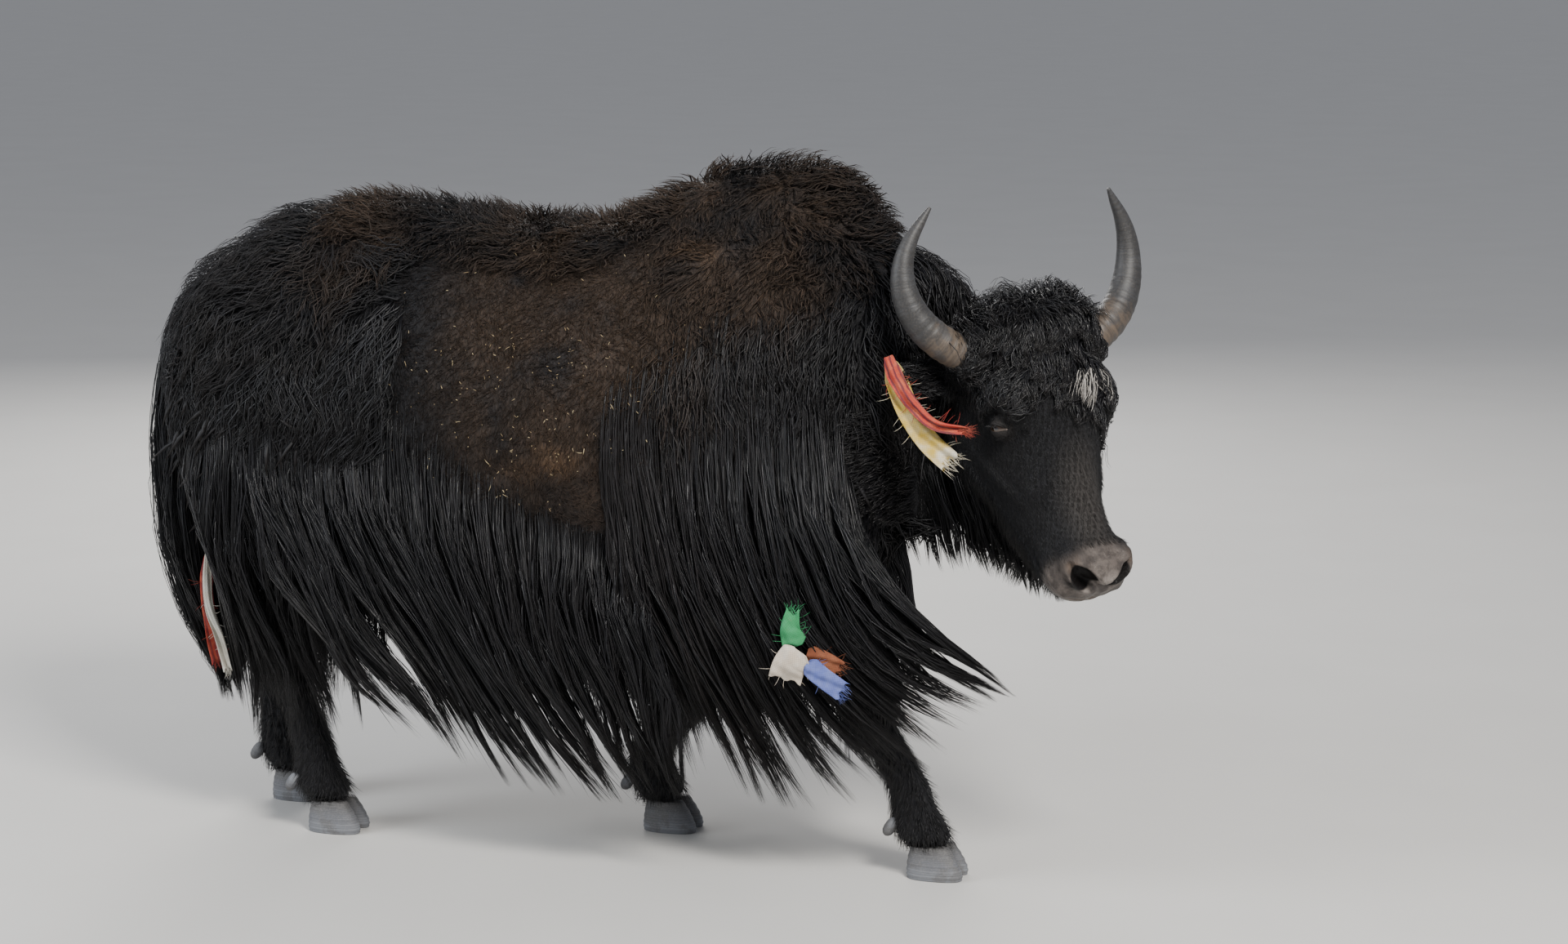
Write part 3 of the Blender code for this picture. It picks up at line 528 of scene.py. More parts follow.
@dataclass(frozen=True)
class Markings:
    """The colours of skin and coat, by the place where the hair grows."""

    # The hair's black, tinted a little blue as a painted sheen of sky light on the glossy hair
    black: Numbers = (0.0062, 0.0062, 0.0076)
    brown: Numbers = (0.0280, 0.0180, 0.0118)
    tan: Numbers = (0.0800, 0.0460, 0.0240)
    cream: Numbers = (0.50, 0.47, 0.43)
    muzzle: Numbers = (0.105, 0.088, 0.078)
    # Middles and half sizes of the brown places, and of the tan ones in them
    browns: Rows = (
        (-0.05, 0, 1.00, 0.40, 0.9, 0.44), (0.24, 0, 1.20, 0.27, 0.9, 0.24),
        (-0.53, 0, 1.18, 0.13, 0.9, 0.12),
        (-0.64, -0.30, 0.56, 0.07, 0.2, 0.06), (-0.62, -0.30, 0.43, 0.05, 0.2, 0.08),
        (-0.64, 0.30, 0.54, 0.07, 0.2, 0.09))
    tans: Rows = (
        (0.06, 0, 0.730, 0.120, 0.9, 0.080), (0.16, 0, 1.23, 0.09, 0.9, 0.08),
        (-0.10, 0, 0.80, 0.13, 0.9, 0.05))

    def spots(self, nodes: Nodes, place: Shade, rows: Rows) -> Shade:
        """The largest of several soft spots."""
        found = None
        for row in rows:
            spot = nodes.near(place, row[:3], row[3:], 0.5)
            found = spot if found is None else found.larger(spot)
        return found

    def greyed(self, nodes: Nodes, headed: Shade, colour: Shade) -> Shade:
        """The colour with the grey of the face's short fur, from the head's own axes."""
        grey = nodes.near(headed, (0.39, 0, 0.0), (0.17, 0.090, 0.10), 0.3)
        colour = nodes.mix(grey * 0.50, colour, (0.060, 0.053, 0.048))
        snout = nodes.near(headed, (0.500, 0, -0.12), (0.085, 0.12, 0.12), 0.55)
        return nodes.mix(snout * 0.8, colour, self.muzzle)

    def colour(self, nodes: Nodes, place: Shade, share: float = 1) -> Shade:
        """The coat's colour at a place.

        Args:
            nodes: The tree that it goes into.
            place: The root of the hair, or the point of the skin.
            share: How much of the brown shows.

        Returns:
            A colour.
        """
        cloud = nodes.noise(place, 7, 3, 0.6)
        furrow = nodes.near(place, (-0.385, 0, 1.06), (0.055, 0.9, 0.24), 0.2)
        brown = self.spots(nodes, place, self.browns) * cloud.step(0.25, 0.60)
        brown = brown * (1 - furrow * 0.85) * share
        tan = self.spots(nodes, place, self.tans) * cloud.step(0.40, 0.70)
        shade = nodes.mix(brown, self.black, self.brown)
        return nodes.mix(tan * 0.6 * share, shade, self.tan)


MARKINGS = Markings()


@dataclass(frozen=True)
class CoatFinish:
    """The finish of hair: marked by its root, streaked along itself, and glossy."""

    name: str
    roughness: float = 0.42
    tips: float = 0.25
    brown: float = 1.0
    cream: bool = False
    shine: float = 0.45
    streaks: float = 9

    def material(self) -> bpy.types.Material:
        """The material, from the attributes that the locks keep."""
        nodes = Nodes(self.name)
        root = nodes.kept("root", "Vector")
        tone = nodes.kept("tone")
        across, along, _ = nodes.parted(
            nodes.node("UVMap", {"uv_map": "strand"}))
        colour = MARKINGS.colour(nodes, root, self.brown)
        light = tone * 1.1 + 0.45
        colour = nodes.mix(1, colour, nodes.joined(light, light, light), "MULTIPLY")
        tip = along.step(0.35, 1) * self.tips
        colour = nodes.mix(tip, colour, nodes.mix(0.5, colour, MARKINGS.tan))
        if self.cream:
            a, left, out = nodes.headed(root)
            tuft = nodes.near(nodes.joined(a, left, out), (0.136, 0.068, 0.020),
                              (0.015, 0.027, 0.07), 0.8)
            colour = nodes.mix(tuft * tone.step(0.35, 0.45), colour, MARKINGS.cream)
            colour = MARKINGS.greyed(nodes, nodes.joined(a, left, out), colour)
        streak = nodes.noise(
            nodes.joined(across * self.streaks + tone * 57, along * 1.5, tone * 31), 1.0, 2)
        return nodes.surface(
            colour, streak * 0.3 + (self.roughness - 0.15), streak, 0.0012, 0.55,
            Specular_IOR_Level=self.shine)


@dataclass(frozen=True)
class SkinFinish:
    """The skin: the coat's own markings over fine hair, and bare leather at the muzzle."""

    name: str = "skin_hide"

    def material(self) -> bpy.types.Material:
        """The material, from where the surface is."""
        nodes = Nodes(self.name)
        place = nodes.place()
        a, left, out = nodes.headed(place)
        headed = nodes.joined(a, left, out)
        colour = MARKINGS.colour(nodes, place)
        lies = nodes.joined(a * 0.14, left, out)
        fur = nodes.noise(lies, 460, 3, 0.6).step(0.30, 0.70)
        x, y, z = nodes.parted(place)
        down = nodes.noise(nodes.joined(x, y, z * 0.2), 300, 3, 0.6).step(0.30, 0.70)
        on_head = nodes.near(headed, (0.25, 0, -0.15), (0.42, 0.25, 0.32), 0.8)
        hair = fur * on_head + down * (1 - on_head)
        shade = hair * 0.9 + 0.55
        colour = nodes.mix(1, colour, nodes.joined(shade, shade, shade), "MULTIPLY")
        colour = MARKINGS.greyed(nodes, headed, colour)
        for side in Side:
            rim = nodes.near(place, tuple(HEAD.eye(side)), (0.034,) * 3, 0.7)
            colour = nodes.mix(rim * 0.45, colour, (0.040, 0.035, 0.032))
        snout = nodes.near(headed, (0.505, 0, -0.115), (0.085, 0.11, 0.115), 0.72)
        spots = nodes.noise(place, 60, 4, 0.6)
        pad = nodes.near(headed, (0.515, 0, -0.085), (0.050, 0.052, 0.05), 0.5)
        bare = nodes.mix(spots.step(0.35, 0.65), (0.050, 0.042, 0.038), MARKINGS.muzzle)
        bare = nodes.mix(pad * spots.step(0.2, 0.6), bare, (0.240, 0.210, 0.190))
        for side in Side:
            patch = nodes.near(headed, (0.474, side.value * 0.066, -0.050),
                               (0.030, 0.022, 0.034), 0.3)
            bare = nodes.mix(patch * 0.6, bare, (0.150, 0.105, 0.075))
        # Painted shade: the muzzle's front under the pad faces down and is darkened as if in shadow
        front = nodes.near(headed, (0.540, 0, -0.100), (0.024, 0.055, 0.040), 0.5)
        bare = nodes.mix(front * 0.8, bare, (0.022, 0.020, 0.020))
        lip = nodes.near(headed, (0.49, 0, -0.136), (0.05, 0.08, 0.022), 0.4)
        bare = nodes.mix(lip * 0.7, bare, (0.23, 0.19, 0.16))
        colour = nodes.mix(snout, colour, bare)
        # Painted shade: each nostril and the hollow round it are darkened to near black, for the nostril's dark
        # inner skin and the shadow that falls into it
        for side in Side:
            nostril_shade = nodes.near(headed, (0.497, side.value * 0.034, -0.080),
                              (0.028, 0.037, 0.030), 0.85)
            colour = nodes.mix(nostril_shade, colour, (0.004, 0.003, 0.003))
        grain = nodes.node("TexVoronoi", {"feature": "DISTANCE_TO_EDGE"}, {
            "Vector": place, "Scale": 430}, "Distance").step(0, 0.30)
        height = hair * (1 - snout) + grain * snout * 0.35
        return nodes.surface(colour, 0.62 - snout * 0.22, height, 0.0016, 0.9,
                             Specular_IOR_Level=0.22)


@dataclass(frozen=True)
class HornFinish:
    """Horn with growth rings: tan at its base, dark slate above, and worn smooth."""

    name: str
    base: Numbers = (0.090, 0.066, 0.047)
    shaft: Numbers = (0.020, 0.020, 0.021)
    tip: Numbers = (0.034, 0.034, 0.036)
    patches: Numbers = (0.032, 0.033, 0.036)
    fibres: Numbers = (0.110, 0.095, 0.080)
    rings: float = 30
    base_ends: float = 0.34
    gloss: float = 0.42

    def material(self) -> bpy.types.Material:
        """The material, from the number that the mesh keeps along its course."""
        nodes = Nodes(self.name)
        place = nodes.place()
        course = nodes.kept("course")
        cloud = nodes.noise(place, 55, 4, 0.6)
        wobble = course + (cloud - 0.5) * 0.03
        ring = nodes.noise(nodes.joined(wobble * self.rings, 0, 0), 2.2, 3, 0.6)
        upper = (course + (cloud - 0.5) * 0.22).step(self.base_ends * 0.55, self.base_ends)
        colour = nodes.mix(upper, self.base, self.shaft)
        colour = nodes.mix(course.step(0.55, 1), colour, self.tip)
        blotch = nodes.noise(place, 26, 4, 0.65).step(0.48, 0.60)
        colour = nodes.mix(blotch * 0.7, colour, self.patches)
        colour = nodes.mix(ring.step(0.42, 0.60) * 0.55, colour, (0.016, 0.014, 0.013))
        fibre = nodes.noise(place, 320, 3, 0.7)
        colour = nodes.mix(fibre.step(0.45, 0.75) * 0.30, colour, self.fibres)
        height = ring * 0.8 + fibre * 0.2
        return nodes.surface(colour, fibre * 0.25 + self.gloss, height, 0.0015, 0.7)


@dataclass(frozen=True)
class EyeFinish:
    """A dark brown eye with a level pupil under a wet front."""

    name: str = "eye_dark"

    def material(self) -> bpy.types.Material:
        """The material, from the numbers that the mesh keeps."""
        nodes = Nodes(self.name)
        out, ahead, up = (nodes.kept(n) for n in ("eye_out", "eye_ahead", "eye_up"))
        place = nodes.place()
        vein = nodes.noise(place, 900, 3)
        iris = nodes.mix(vein, (0.016, 0.008, 0.004), (0.050, 0.024, 0.010))
        white = nodes.mix(vein.step(0.5, 0.7), (0.20, 0.16, 0.14), (0.10, 0.05, 0.04))
        colour = nodes.mix(out.step(0.42, 0.56), white, iris)
        pupil = ((ahead / 0.36) ** 2 + (up / 0.17) ** 2).step(1.2, 0.8) * out.step(0.2, 0.5)
        colour = nodes.mix(pupil, colour, (0.002, 0.002, 0.003))
        return nodes.surface(colour, 0.12, Coat_Weight=1.0, Coat_Roughness=0.03)


@dataclass(frozen=True)
class ClothFinish:
    """A plain-woven cotton cloth, faded and dusty."""

    name: str
    colour: Numbers
    faded: Numbers
    stripes: float = 0.0
    pale_from: float = 9.0
    threads: float = 1300

    def material(self) -> bpy.types.Material:
        """The material, woven on the cloth's own map, which is in metres."""
        nodes = Nodes(self.name)
        across, along, _ = nodes.parted(nodes.node("UVMap", {"uv_map": "weave"}))
        warp = (across * self.threads).maths("SINE")
        weft = (along * self.threads).maths("SINE")
        weave = (warp * weft) * 0.5 + 0.5
        place = nodes.place()
        wear = nodes.noise(place, 38, 4, 0.6)
        colour = nodes.mix(wear.step(0.35, 0.72), self.colour, self.faded)
        pale = (along + (wear - 0.5) * 0.08).step(self.pale_from, self.pale_from + 0.05)
        colour = nodes.mix(pale * 0.75, colour, (0.62, 0.60, 0.54))
        stripe = (across * 620 + wear * 5).maths("SINE").step(0.1, 0.8)
        colour = nodes.mix(stripe * self.stripes, colour, (0.055, 0.020, 0.040))
        dust = nodes.noise(place, 160, 3, 0.7)
        colour = nodes.mix(dust.step(0.55, 0.85) * 0.4, colour, (0.20, 0.16, 0.12))
        colour = nodes.mix(weave * 0.22, colour, (0.02, 0.02, 0.02))
        return nodes.surface(colour, 0.86, weave + wear * 0.7, 0.0004, 0.6,
                             Specular_IOR_Level=0.25)


# The skin


@dataclass
class Skin:
    """One closed hide that stands for all the flesh, head and ears among it."""

    flesh: tuple[str, ...] = (
        "neck", "forequarters", "barrel", "hindquarters", "tail_dock",
        "foreleg_left_upper", "foreleg_left_lower", "foreleg_right_upper",
        "foreleg_right_lower", "hindleg_left_upper", "hindleg_left_lower",
        "hindleg_right_upper", "hindleg_right_lower")
    body_voxel: float = 0.0150
    head_voxel: float = 0.0039
    # along, forehead, underside, then half widths at the brow, cheek and jaw
    skull: Rows = (
        (-0.050, -0.070, -0.150, 0.060, 0.070, 0.060),
        (-0.020, -0.024, -0.210, 0.098, 0.100, 0.070),
        (0.040, 0.018, -0.262, 0.130, 0.118, 0.080),
        (0.100, 0.038, -0.285, 0.136, 0.122, 0.082),
        (0.160, 0.038, -0.325, 0.130, 0.122, 0.080),
        (0.215, 0.030, -0.330, 0.120, 0.114, 0.072),
        (0.275, 0.012, -0.314, 0.092, 0.102, 0.062),
        (0.335, -0.010, -0.286, 0.070, 0.088, 0.056),
        (0.395, -0.028, -0.252, 0.062, 0.078, 0.054),
        (0.445, -0.038, -0.216, 0.064, 0.078, 0.058),
        (0.485, -0.048, -0.196, 0.062, 0.076, 0.054),
        (0.512, -0.066, -0.172, 0.046, 0.058, 0.042),
        (0.525, -0.090, -0.145, 0.022, 0.028, 0.022))
    # Middles and half sizes, in the head's axes, of forms on its middle and on both sides
    middle_forms: Rows = (
        (0.024, 0, 0.004, 0.074, 0.135, 0.050), (0.478, 0, -0.125, 0.046, 0.068, 0.044),
        (0.452, 0, -0.180, 0.046, 0.050, 0.034), (0.497, 0, -0.072, 0.032, 0.050, 0.032))
    side_forms: Rows = (
        (0.160, 0.094, -0.006, 0.060, 0.032, 0.036), (0.160, 0.084, -0.190, 0.110, 0.040, 0.092),
        (0.045, 0.124, -0.034, 0.052, 0.044, 0.044), (0.472, 0.048, -0.074, 0.044, 0.030, 0.034),
        (0.250, 0.072, -0.080, 0.100, 0.028, 0.050), (0.492, 0.052, -0.112, 0.030, 0.024, 0.030))
    ear_root: Numbers = (0.076, 0.108, -0.100)
    ear_length: float = 0.150
    ear_ways: dict = field(default_factory=lambda: {
        Side.RIGHT: (0.98, 0.03, 0.20), Side.LEFT: (0.62, 0.74, -0.12)})
    ear_leaf: Rows = (
        (-0.18, 0.018, 0.014, 0.000), (0.00, 0.022, 0.014, 0.002), (0.25, 0.034, 0.010, 0.012),
        (0.50, 0.040, 0.008, 0.017), (0.75, 0.031, 0.007, 0.012), (0.92, 0.016, 0.006, 0.004),
        (1.00, 0.005, 0.004, 0.000))
    lid_radius: float = 0.0222
    lid_thick: float = 0.0022
    slit_above: float = 14
    slit_below: float = 15

    def ear_way(self, side: Side) -> np.ndarray:
        """The way that an ear points."""
        out, back, up = self.ear_ways[side]
        return unit(HEAD.axes[1] * side.value * out - HEAD.level * back + np.array((0, 0, up)))

    def body(self) -> bpy.types.Object:
        """The trunk, neck and legs, from the solids, evened and drawn in by the coat."""
        bm = bmesh.new()
        for name in self.flesh:
            part = bmesh.new()
            part.from_mesh(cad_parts[name].data)
            bmesh.ops.remove_doubles(part, verts=part.verts, dist=1e-5)
            part.normal_update()
            for vert in part.verts:
                vert.co += vert.normal * 0.0018
            copy = bpy.data.meshes.new("part")
            part.to_mesh(copy)
            part.free()
            bm.from_mesh(copy)
            bpy.data.meshes.remove(copy)
        made = object_from(bm, "body")
        modified(made, "REMESH", mode="VOXEL", voxel_size=self.body_voxel)
        evened(made, 6)
        places = places_of(made.data)
        x, y, z = (places - SHIFT).T
        depth = 0.007 + 0.011 * ease(z, 0.40, 0.62) + 0.006 * ease(z, 1.0, 1.3)
        depth *= ease(z, 0.06, 0.20) * 0.6 + 0.4
        put_places(made.data, places - normals_of(made.data) * depth[:, None])
        return made

    def head_rings(self) -> list[np.ndarray]:
        """The skull's rings of points."""
        rings = []
        angle = np.arange(36) * TURN / 36
        rise = np.sin(angle)
        share = (rise + 1) / 2
        steps = 3 * (len(self.skull) - 1) + 1
        for along, top, bottom, brow, cheek, jaw in curve(self.skull, np.linspace(0, 1, steps)):
            wide = np.where(share > 0.5, cheek + (brow - cheek) * (share - 0.5) * 2,
                            jaw + (cheek - jaw) * share * 2)
            out = bottom + (top - bottom) * (power(rise, 0.9) + 1) / 2
            rings.append(HEAD.points(np.stack(
                (np.full(36, along), wide * power(np.cos(angle), 0.72), out), 1)))
        return rings

    def ear_rings(self, side: Side) -> list[np.ndarray]:
        """The rings of one ear: a leaf with a hollow front."""
        root = HEAD.at(self.ear_root[0], side.value * self.ear_root[1], self.ear_root[2])
        way = self.ear_way(side)
        front = unit(HEAD.level - way * (HEAD.level @ way))
        up = np.cross(way, front) * side.value
        angle = np.arange(24) * TURN / 24
        rings = []
        for share, wide, thick, cup in curve(self.ear_leaf, np.linspace(0, 1, 19)):
            hollow = np.where(np.sin(angle) > 0, cup, cup * 0.8) * (1 - np.abs(np.cos(angle)))
            rings.append(root + way * self.ear_length * share
                         + up * (wide * np.cos(angle))[:, None]
                         + front * (thick * np.sin(angle) - hollow)[:, None])
        return rings

    def hollow(self, m: np.ndarray, centre: Numbers, inwards: Numbers, long: Numbers,
               radii: Numbers, rim: float = 0) -> np.ndarray:
        """Sinks a soft-edged hollow into points, with a raised rim.

        Args:
            m: Points in the head's axes, with left made positive.
            centre: The middle of the hollow's mouth.
            inwards: The way in.
            long: The way of its longer side.
            radii: Its depth, half length and half width.
            rim: How far the rim stands out.

        Returns:
            The points, moved.
        """
        inner = unit(np.array(inwards, float))
        up = np.array(long, float)
        up = unit(up - inner * (up @ inner))
        depth, length, width = radii
        gap = m - np.array(centre)
        reach = np.hypot(gap @ up / length, gap @ np.cross(inner, up) / width)
        close = ease(np.abs(gap @ inner), 0.045, 0.020)
        m = m + inner * (depth * np.exp(-(reach * 0.92) ** 5) * close)[:, None]
        return m - inner * (rim * np.exp(-((reach - 1.35) / 0.32) ** 2) * close)[:, None]

    def socket(self, m: np.ndarray) -> np.ndarray:
        """Draws the skin round the eye over the ball, with folds and an opening.

        Args:
            m: Points in the head's axes, with left made positive.

        Returns:
            The points, moved.
        """
        outwards, forwards, upwards = HEAD.gaze(Side.LEFT) @ HEAD.axes.T
        gap = m - np.array((0.197, 0.108, -0.046))
        w, u, v = gap @ outwards, gap @ forwards, gap @ upwards
        facing = ease(w, -0.012, 0.0) * ease(np.hypot(u, v), 0.045, 0.034)
        # A smooth union of the face with a ball that is a little larger than the lids'
        ball = np.sqrt(np.clip(0.0242 ** 2 - u * u - v * v, 0, 1)) - 0.0004
        soft = 0.0028
        top = np.maximum(w, ball)
        union = top + soft * np.log(np.exp((w - top) / soft) + np.exp((ball - top) / soft))
        close = np.exp(-(u / 0.034) ** 2)
        for height, sink, thin in ((0.0150, 0.0022, 0.0022), (0.0270, 0.0026, 0.0038),
                                   (-0.0135, 0.0016, 0.0022), (-0.0215, 0.0022, 0.0034),
                                   (-0.0310, 0.0016, 0.0038)):
            line = np.exp(-((v - height + 11 * u * u * np.sign(height)) / thin) ** 2)
            union -= sink * line * close
        tear = np.exp(-((u - 0.0225) / 0.007) ** 2 - ((v + 0.002 + 0.3 * (u - 0.02)) / 0.0028) ** 2)
        union -= 0.0035 * tear
        opening = np.hypot(u / 0.0186, (v + 0.0004) / (0.0092 + 0.0012 * (v > 0)))
        union -= 0.0110 * (1 - ease(opening, 0.72, 1.12))
        return m + outwards * ((union - w) * facing)[:, None]

    def sculpted(self, places: np.ndarray) -> np.ndarray:
        """The head's finer forms: nostrils, mouth, folds and the eyes' hollows."""
        seen = HEAD.seen(places)
        sign = np.where(seen[:, 1] < 0, -1.0, 1.0)
        m = seen * np.stack((np.ones_like(sign), sign, np.ones_like(sign)), 1)
        a, left, out = m.T.copy()
        flank = ease(left, 0.02, 0.05)
        # The bridge of the nose, the hollow before the eye and the cheek's ridge
        m[:, 2] += 0.004 * np.exp(-((a - 0.36) / 0.08) ** 2 - (left / 0.030) ** 2)
        dent = np.exp(-((a - 0.300) / 0.050) ** 2 - ((out + 0.060) / 0.026) ** 2)
        m[:, 1] -= 0.008 * dent * flank
        ridge = np.exp(-((out + 0.120 - (a - 0.3) * 0.30) / 0.014) ** 2
                       - ((a - 0.265) / 0.085) ** 2)
        m[:, 1] += 0.0055 * ridge * flank
        jaw = np.exp(-((out + 0.215 + (a - 0.2) * 0.1) / 0.020) ** 2 - ((a - 0.24) / 0.09) ** 2)
        m[:, 1] -= 0.004 * jaw * flank
        # The brow over each eye and the hollow of the temple
        brow = np.exp(-((a - 0.170) / 0.034) ** 2 - ((out + 0.004) / 0.024) ** 2)
        m[:, 1] += 0.005 * brow * ease(left, 0.04, 0.09)
        m = self.socket(m)
        # The nose pad: a broad swelling between the nostrils, with a soft upper edge
        pad = np.exp(-((a - 0.486) / 0.026) ** 2 - (left / 0.046) ** 2) * ease(out, -0.09, -0.055)
        m[:, 2] += 0.0045 * pad
        edge = np.exp(-((a - 0.452 - left * 0.10) / 0.0065) ** 2) * ease(out, -0.08, -0.05)
        m[:, 2] -= 0.0022 * edge
        # The nostril, a slanted comma with a rolled wing round it
        m = self.hollow(m, (0.516, 0.037, -0.068), (-0.78, -0.26, -0.42), (0.42, -0.78, -0.46),
                        (0.030, 0.037, 0.0165), 0.0036)
        m = self.hollow(m, (0.490, 0.069, -0.060), (-0.35, -0.90, -0.30), (0.75, -0.35, -0.55),
                        (0.008, 0.014, 0.0050))
        # The mouth's line, round the front and back to its corner
        lip = -0.150 + (a - 0.405) * 0.147
        line = np.exp(-((m[:, 2] - lip) / 0.0032) ** 2) * ease(a, 0.400, 0.425)
        away = unit(m - np.array((0.43, 0, -0.145)))
        m -= away * (0.0080 * line)[:, None]
        swell = np.exp(-((m[:, 2] - lip - 0.013) / 0.008) ** 2) * ease(a, 0.42, 0.46)
        m += away * (0.0030 * swell)[:, None]
        # The groove down from between the nostrils, and small pits at the whiskers
        m[:, 0] -= 0.0035 * np.exp(-(left / 0.004) ** 2) * ease(a, 0.500, 0.515)
        pits = np.sin(m[:, 0] * 520) * np.sin(m[:, 2] * 560 + m[:, 1] * 200)
        m[:, 1] -= 0.0006 * pits * ease(a, 0.42, 0.45) * flank
        m[:, 1] *= sign
        return HEAD.points(m)

    def face(self) -> bpy.types.Object:
        """The head with its ears, evened out and then worked over."""
        bm = bridged(self.head_rings())
        for row in self.middle_forms:
            lump(bm, HEAD.at(*row[:3]), HEAD.axes, row[3:])
        for side in Side:
            for row in self.side_forms:
                centre = HEAD.at(row[0], side.value * row[1], row[2])
                lump(bm, centre, HEAD.axes, row[3:])
            bridged(self.ear_rings(side), bm)
        made = object_from(bm, "face")
        modified(made, "REMESH", mode="VOXEL", voxel_size=self.head_voxel)
        a, left, out = HEAD.seen(places_of(made.data)).T
        ear = np.abs(left) > 0.140
        evened(made, 70, np.where(ear, 0.05, 0.5 - 0.42 * ease(a, 0.36, 0.45)))
        evened(made, 6, np.where(ear, 0.1, 0.5))
        depth = np.where(ear, 0.003, 0.0050 - 0.0035 * ease(a, 0.38, 0.46))
        places = places_of(made.data) - normals_of(made.data) * depth[:, None]
        put_places(made.data, places)
        self.refined(made)
        put_places(made.data, self.sculpted(places_of(made.data)))
        evened(made, 1, 0.35)
        return made

    def refined(self, made: bpy.types.Object) -> None:
        """Gives the face smaller faces round the eyes and the nostrils."""
        bm = bmesh.new()
        bm.from_mesh(made.data)
        for centre, radius in (((0.197, 0.120, -0.046), 0.036), ((0.197, 0.124, -0.046), 0.026),
                               ((0.508, 0.046, -0.068), 0.036)):
            seen = HEAD.seen(np.array([v.co for v in bm.verts])) * (1, 0, 1)
            seen[:, 1] = np.abs(HEAD.seen(np.array([v.co for v in bm.verts]))[:, 1])
            close = np.linalg.norm(seen - np.array(centre), axis=1) < radius
            chosen = {v for v, near in zip(bm.verts, close) if near}
            edges = [e for e in bm.edges if e.verts[0] in chosen and e.verts[1] in chosen]
            bmesh.ops.subdivide_edges(bm, edges=edges, cuts=1, use_grid_fill=True, smooth=0.5)
        bm.to_mesh(made.data)
        bm.free()

    def lids(self, side: Side) -> bpy.types.Object:
        """Two lids over an eyeball, as slices of a shell with thick soft edges."""
        outwards, forwards, upwards = HEAD.gaze(side)
        turn = Matrix(np.array((forwards, upwards, outwards)).T.tolist()).to_4x4()
        place = Matrix.Translation(Vector(HEAD.eye(side))) @ turn
        whole = bmesh.new()
        for angle, above in ((self.slit_above, True), (-self.slit_below, False)):
            bm = bmesh.new()
            bmesh.ops.create_uvsphere(bm, u_segments=40, v_segments=40,
                                      radius=self.lid_radius,
                                      matrix=Matrix.Rotation(math.pi / 2, 4, "Y"))
            tilt = math.radians(angle)
            cut = Vector((0, math.cos(tilt), -math.sin(tilt)))
            if not above:
                cut = -cut
            geometry = bm.verts[:] + bm.edges[:] + bm.faces[:]
            bmesh.ops.bisect_plane(bm, geom=geometry, plane_co=(0, 0, 0), plane_no=cut,
                                   clear_inner=True)
            geometry = bm.verts[:] + bm.edges[:] + bm.faces[:]
            bmesh.ops.bisect_plane(bm, geom=geometry, plane_co=(0, 0, -0.004),
                                   plane_no=(0, 0, 1), clear_inner=True)
            for vert in bm.verts:
                # The slit narrows to its two corners
                share = abs(vert.co.x) / self.lid_radius
                vert.co.y *= 1 - 0.10 * share
            bmesh.ops.solidify(bm, geom=bm.faces[:], thickness=self.lid_thick)
            bmesh.ops.recalc_face_normals(bm, faces=bm.faces)
            bmesh.ops.transform(bm, matrix=place, verts=bm.verts)
            copy = bpy.data.meshes.new("lid")
            bm.to_mesh(copy)
            bm.free()
            whole.from_mesh(copy)
            bpy.data.meshes.remove(copy)
        return object_from(whole, "lids")

    def build(self) -> bpy.types.Object:
        """The whole skin, in one piece.

        Returns:
            The object, dressed, and standing for every flesh node.
        """
        body, face = self.body(), self.face()
        modified(face, "BOOLEAN", operation="UNION", object=body, solver="MANIFOLD")
        bpy.data.objects.remove(body)
        bm = bmesh.new()
        bm.from_mesh(face.data)
        seen = HEAD.seen(np.array([v.co for v in bm.verts]))
        edge = seen[:, 0] + 0.03 + 0.45 * seen[:, 2]
        near = (np.abs(edge) < 0.06) & (np.abs(seen[:, 1]) < 0.25) & (seen[:, 0] < 0.4)
        band = [v for v, close in zip(bm.verts, near) if close]
        for _ in range(8):
            bmesh.ops.smooth_vert(bm, verts=band, factor=0.5, use_axis_x=True,
                                  use_axis_y=True, use_axis_z=True)
        for side in Side:
            lids = self.lids(side)
            bm.from_mesh(lids.data)
            bpy.data.objects.remove(lids)
        bpy.data.objects.remove(face)
        made = object_from(bm, "skin")
        made.data.materials.append(SkinFinish().material())
        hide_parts("head", "lower_jaw", "ear_left", "ear_right", *self.flesh)
        return made


# The coat


@dataclass(frozen=True)
class Roots:
    """Where hair grows: points on the skin and the way out of it there."""

    places: np.ndarray
    ways: np.ndarray

    def only(self, chosen: np.ndarray) -> "Roots":
        """The roots that a mask or a list of numbers picks."""
        return Roots(self.places[chosen], self.ways[chosen])

    @property
    def count(self) -> int:
        """How many there are."""
        return len(self.places)

    def cells(self, gap: float) -> np.ndarray:
        """A number for the cell of a grid that each root is in."""
        return np.floor(self.places / gap).astype(np.int64) @ np.array((1, 4096, 4096 * 4096))

    def spaced(self, gap: float) -> "Roots":
        """About one root in each cell of a grid of that size."""
        return self.only(np.sort(np.unique(self.cells(gap), return_index=True)[1]))


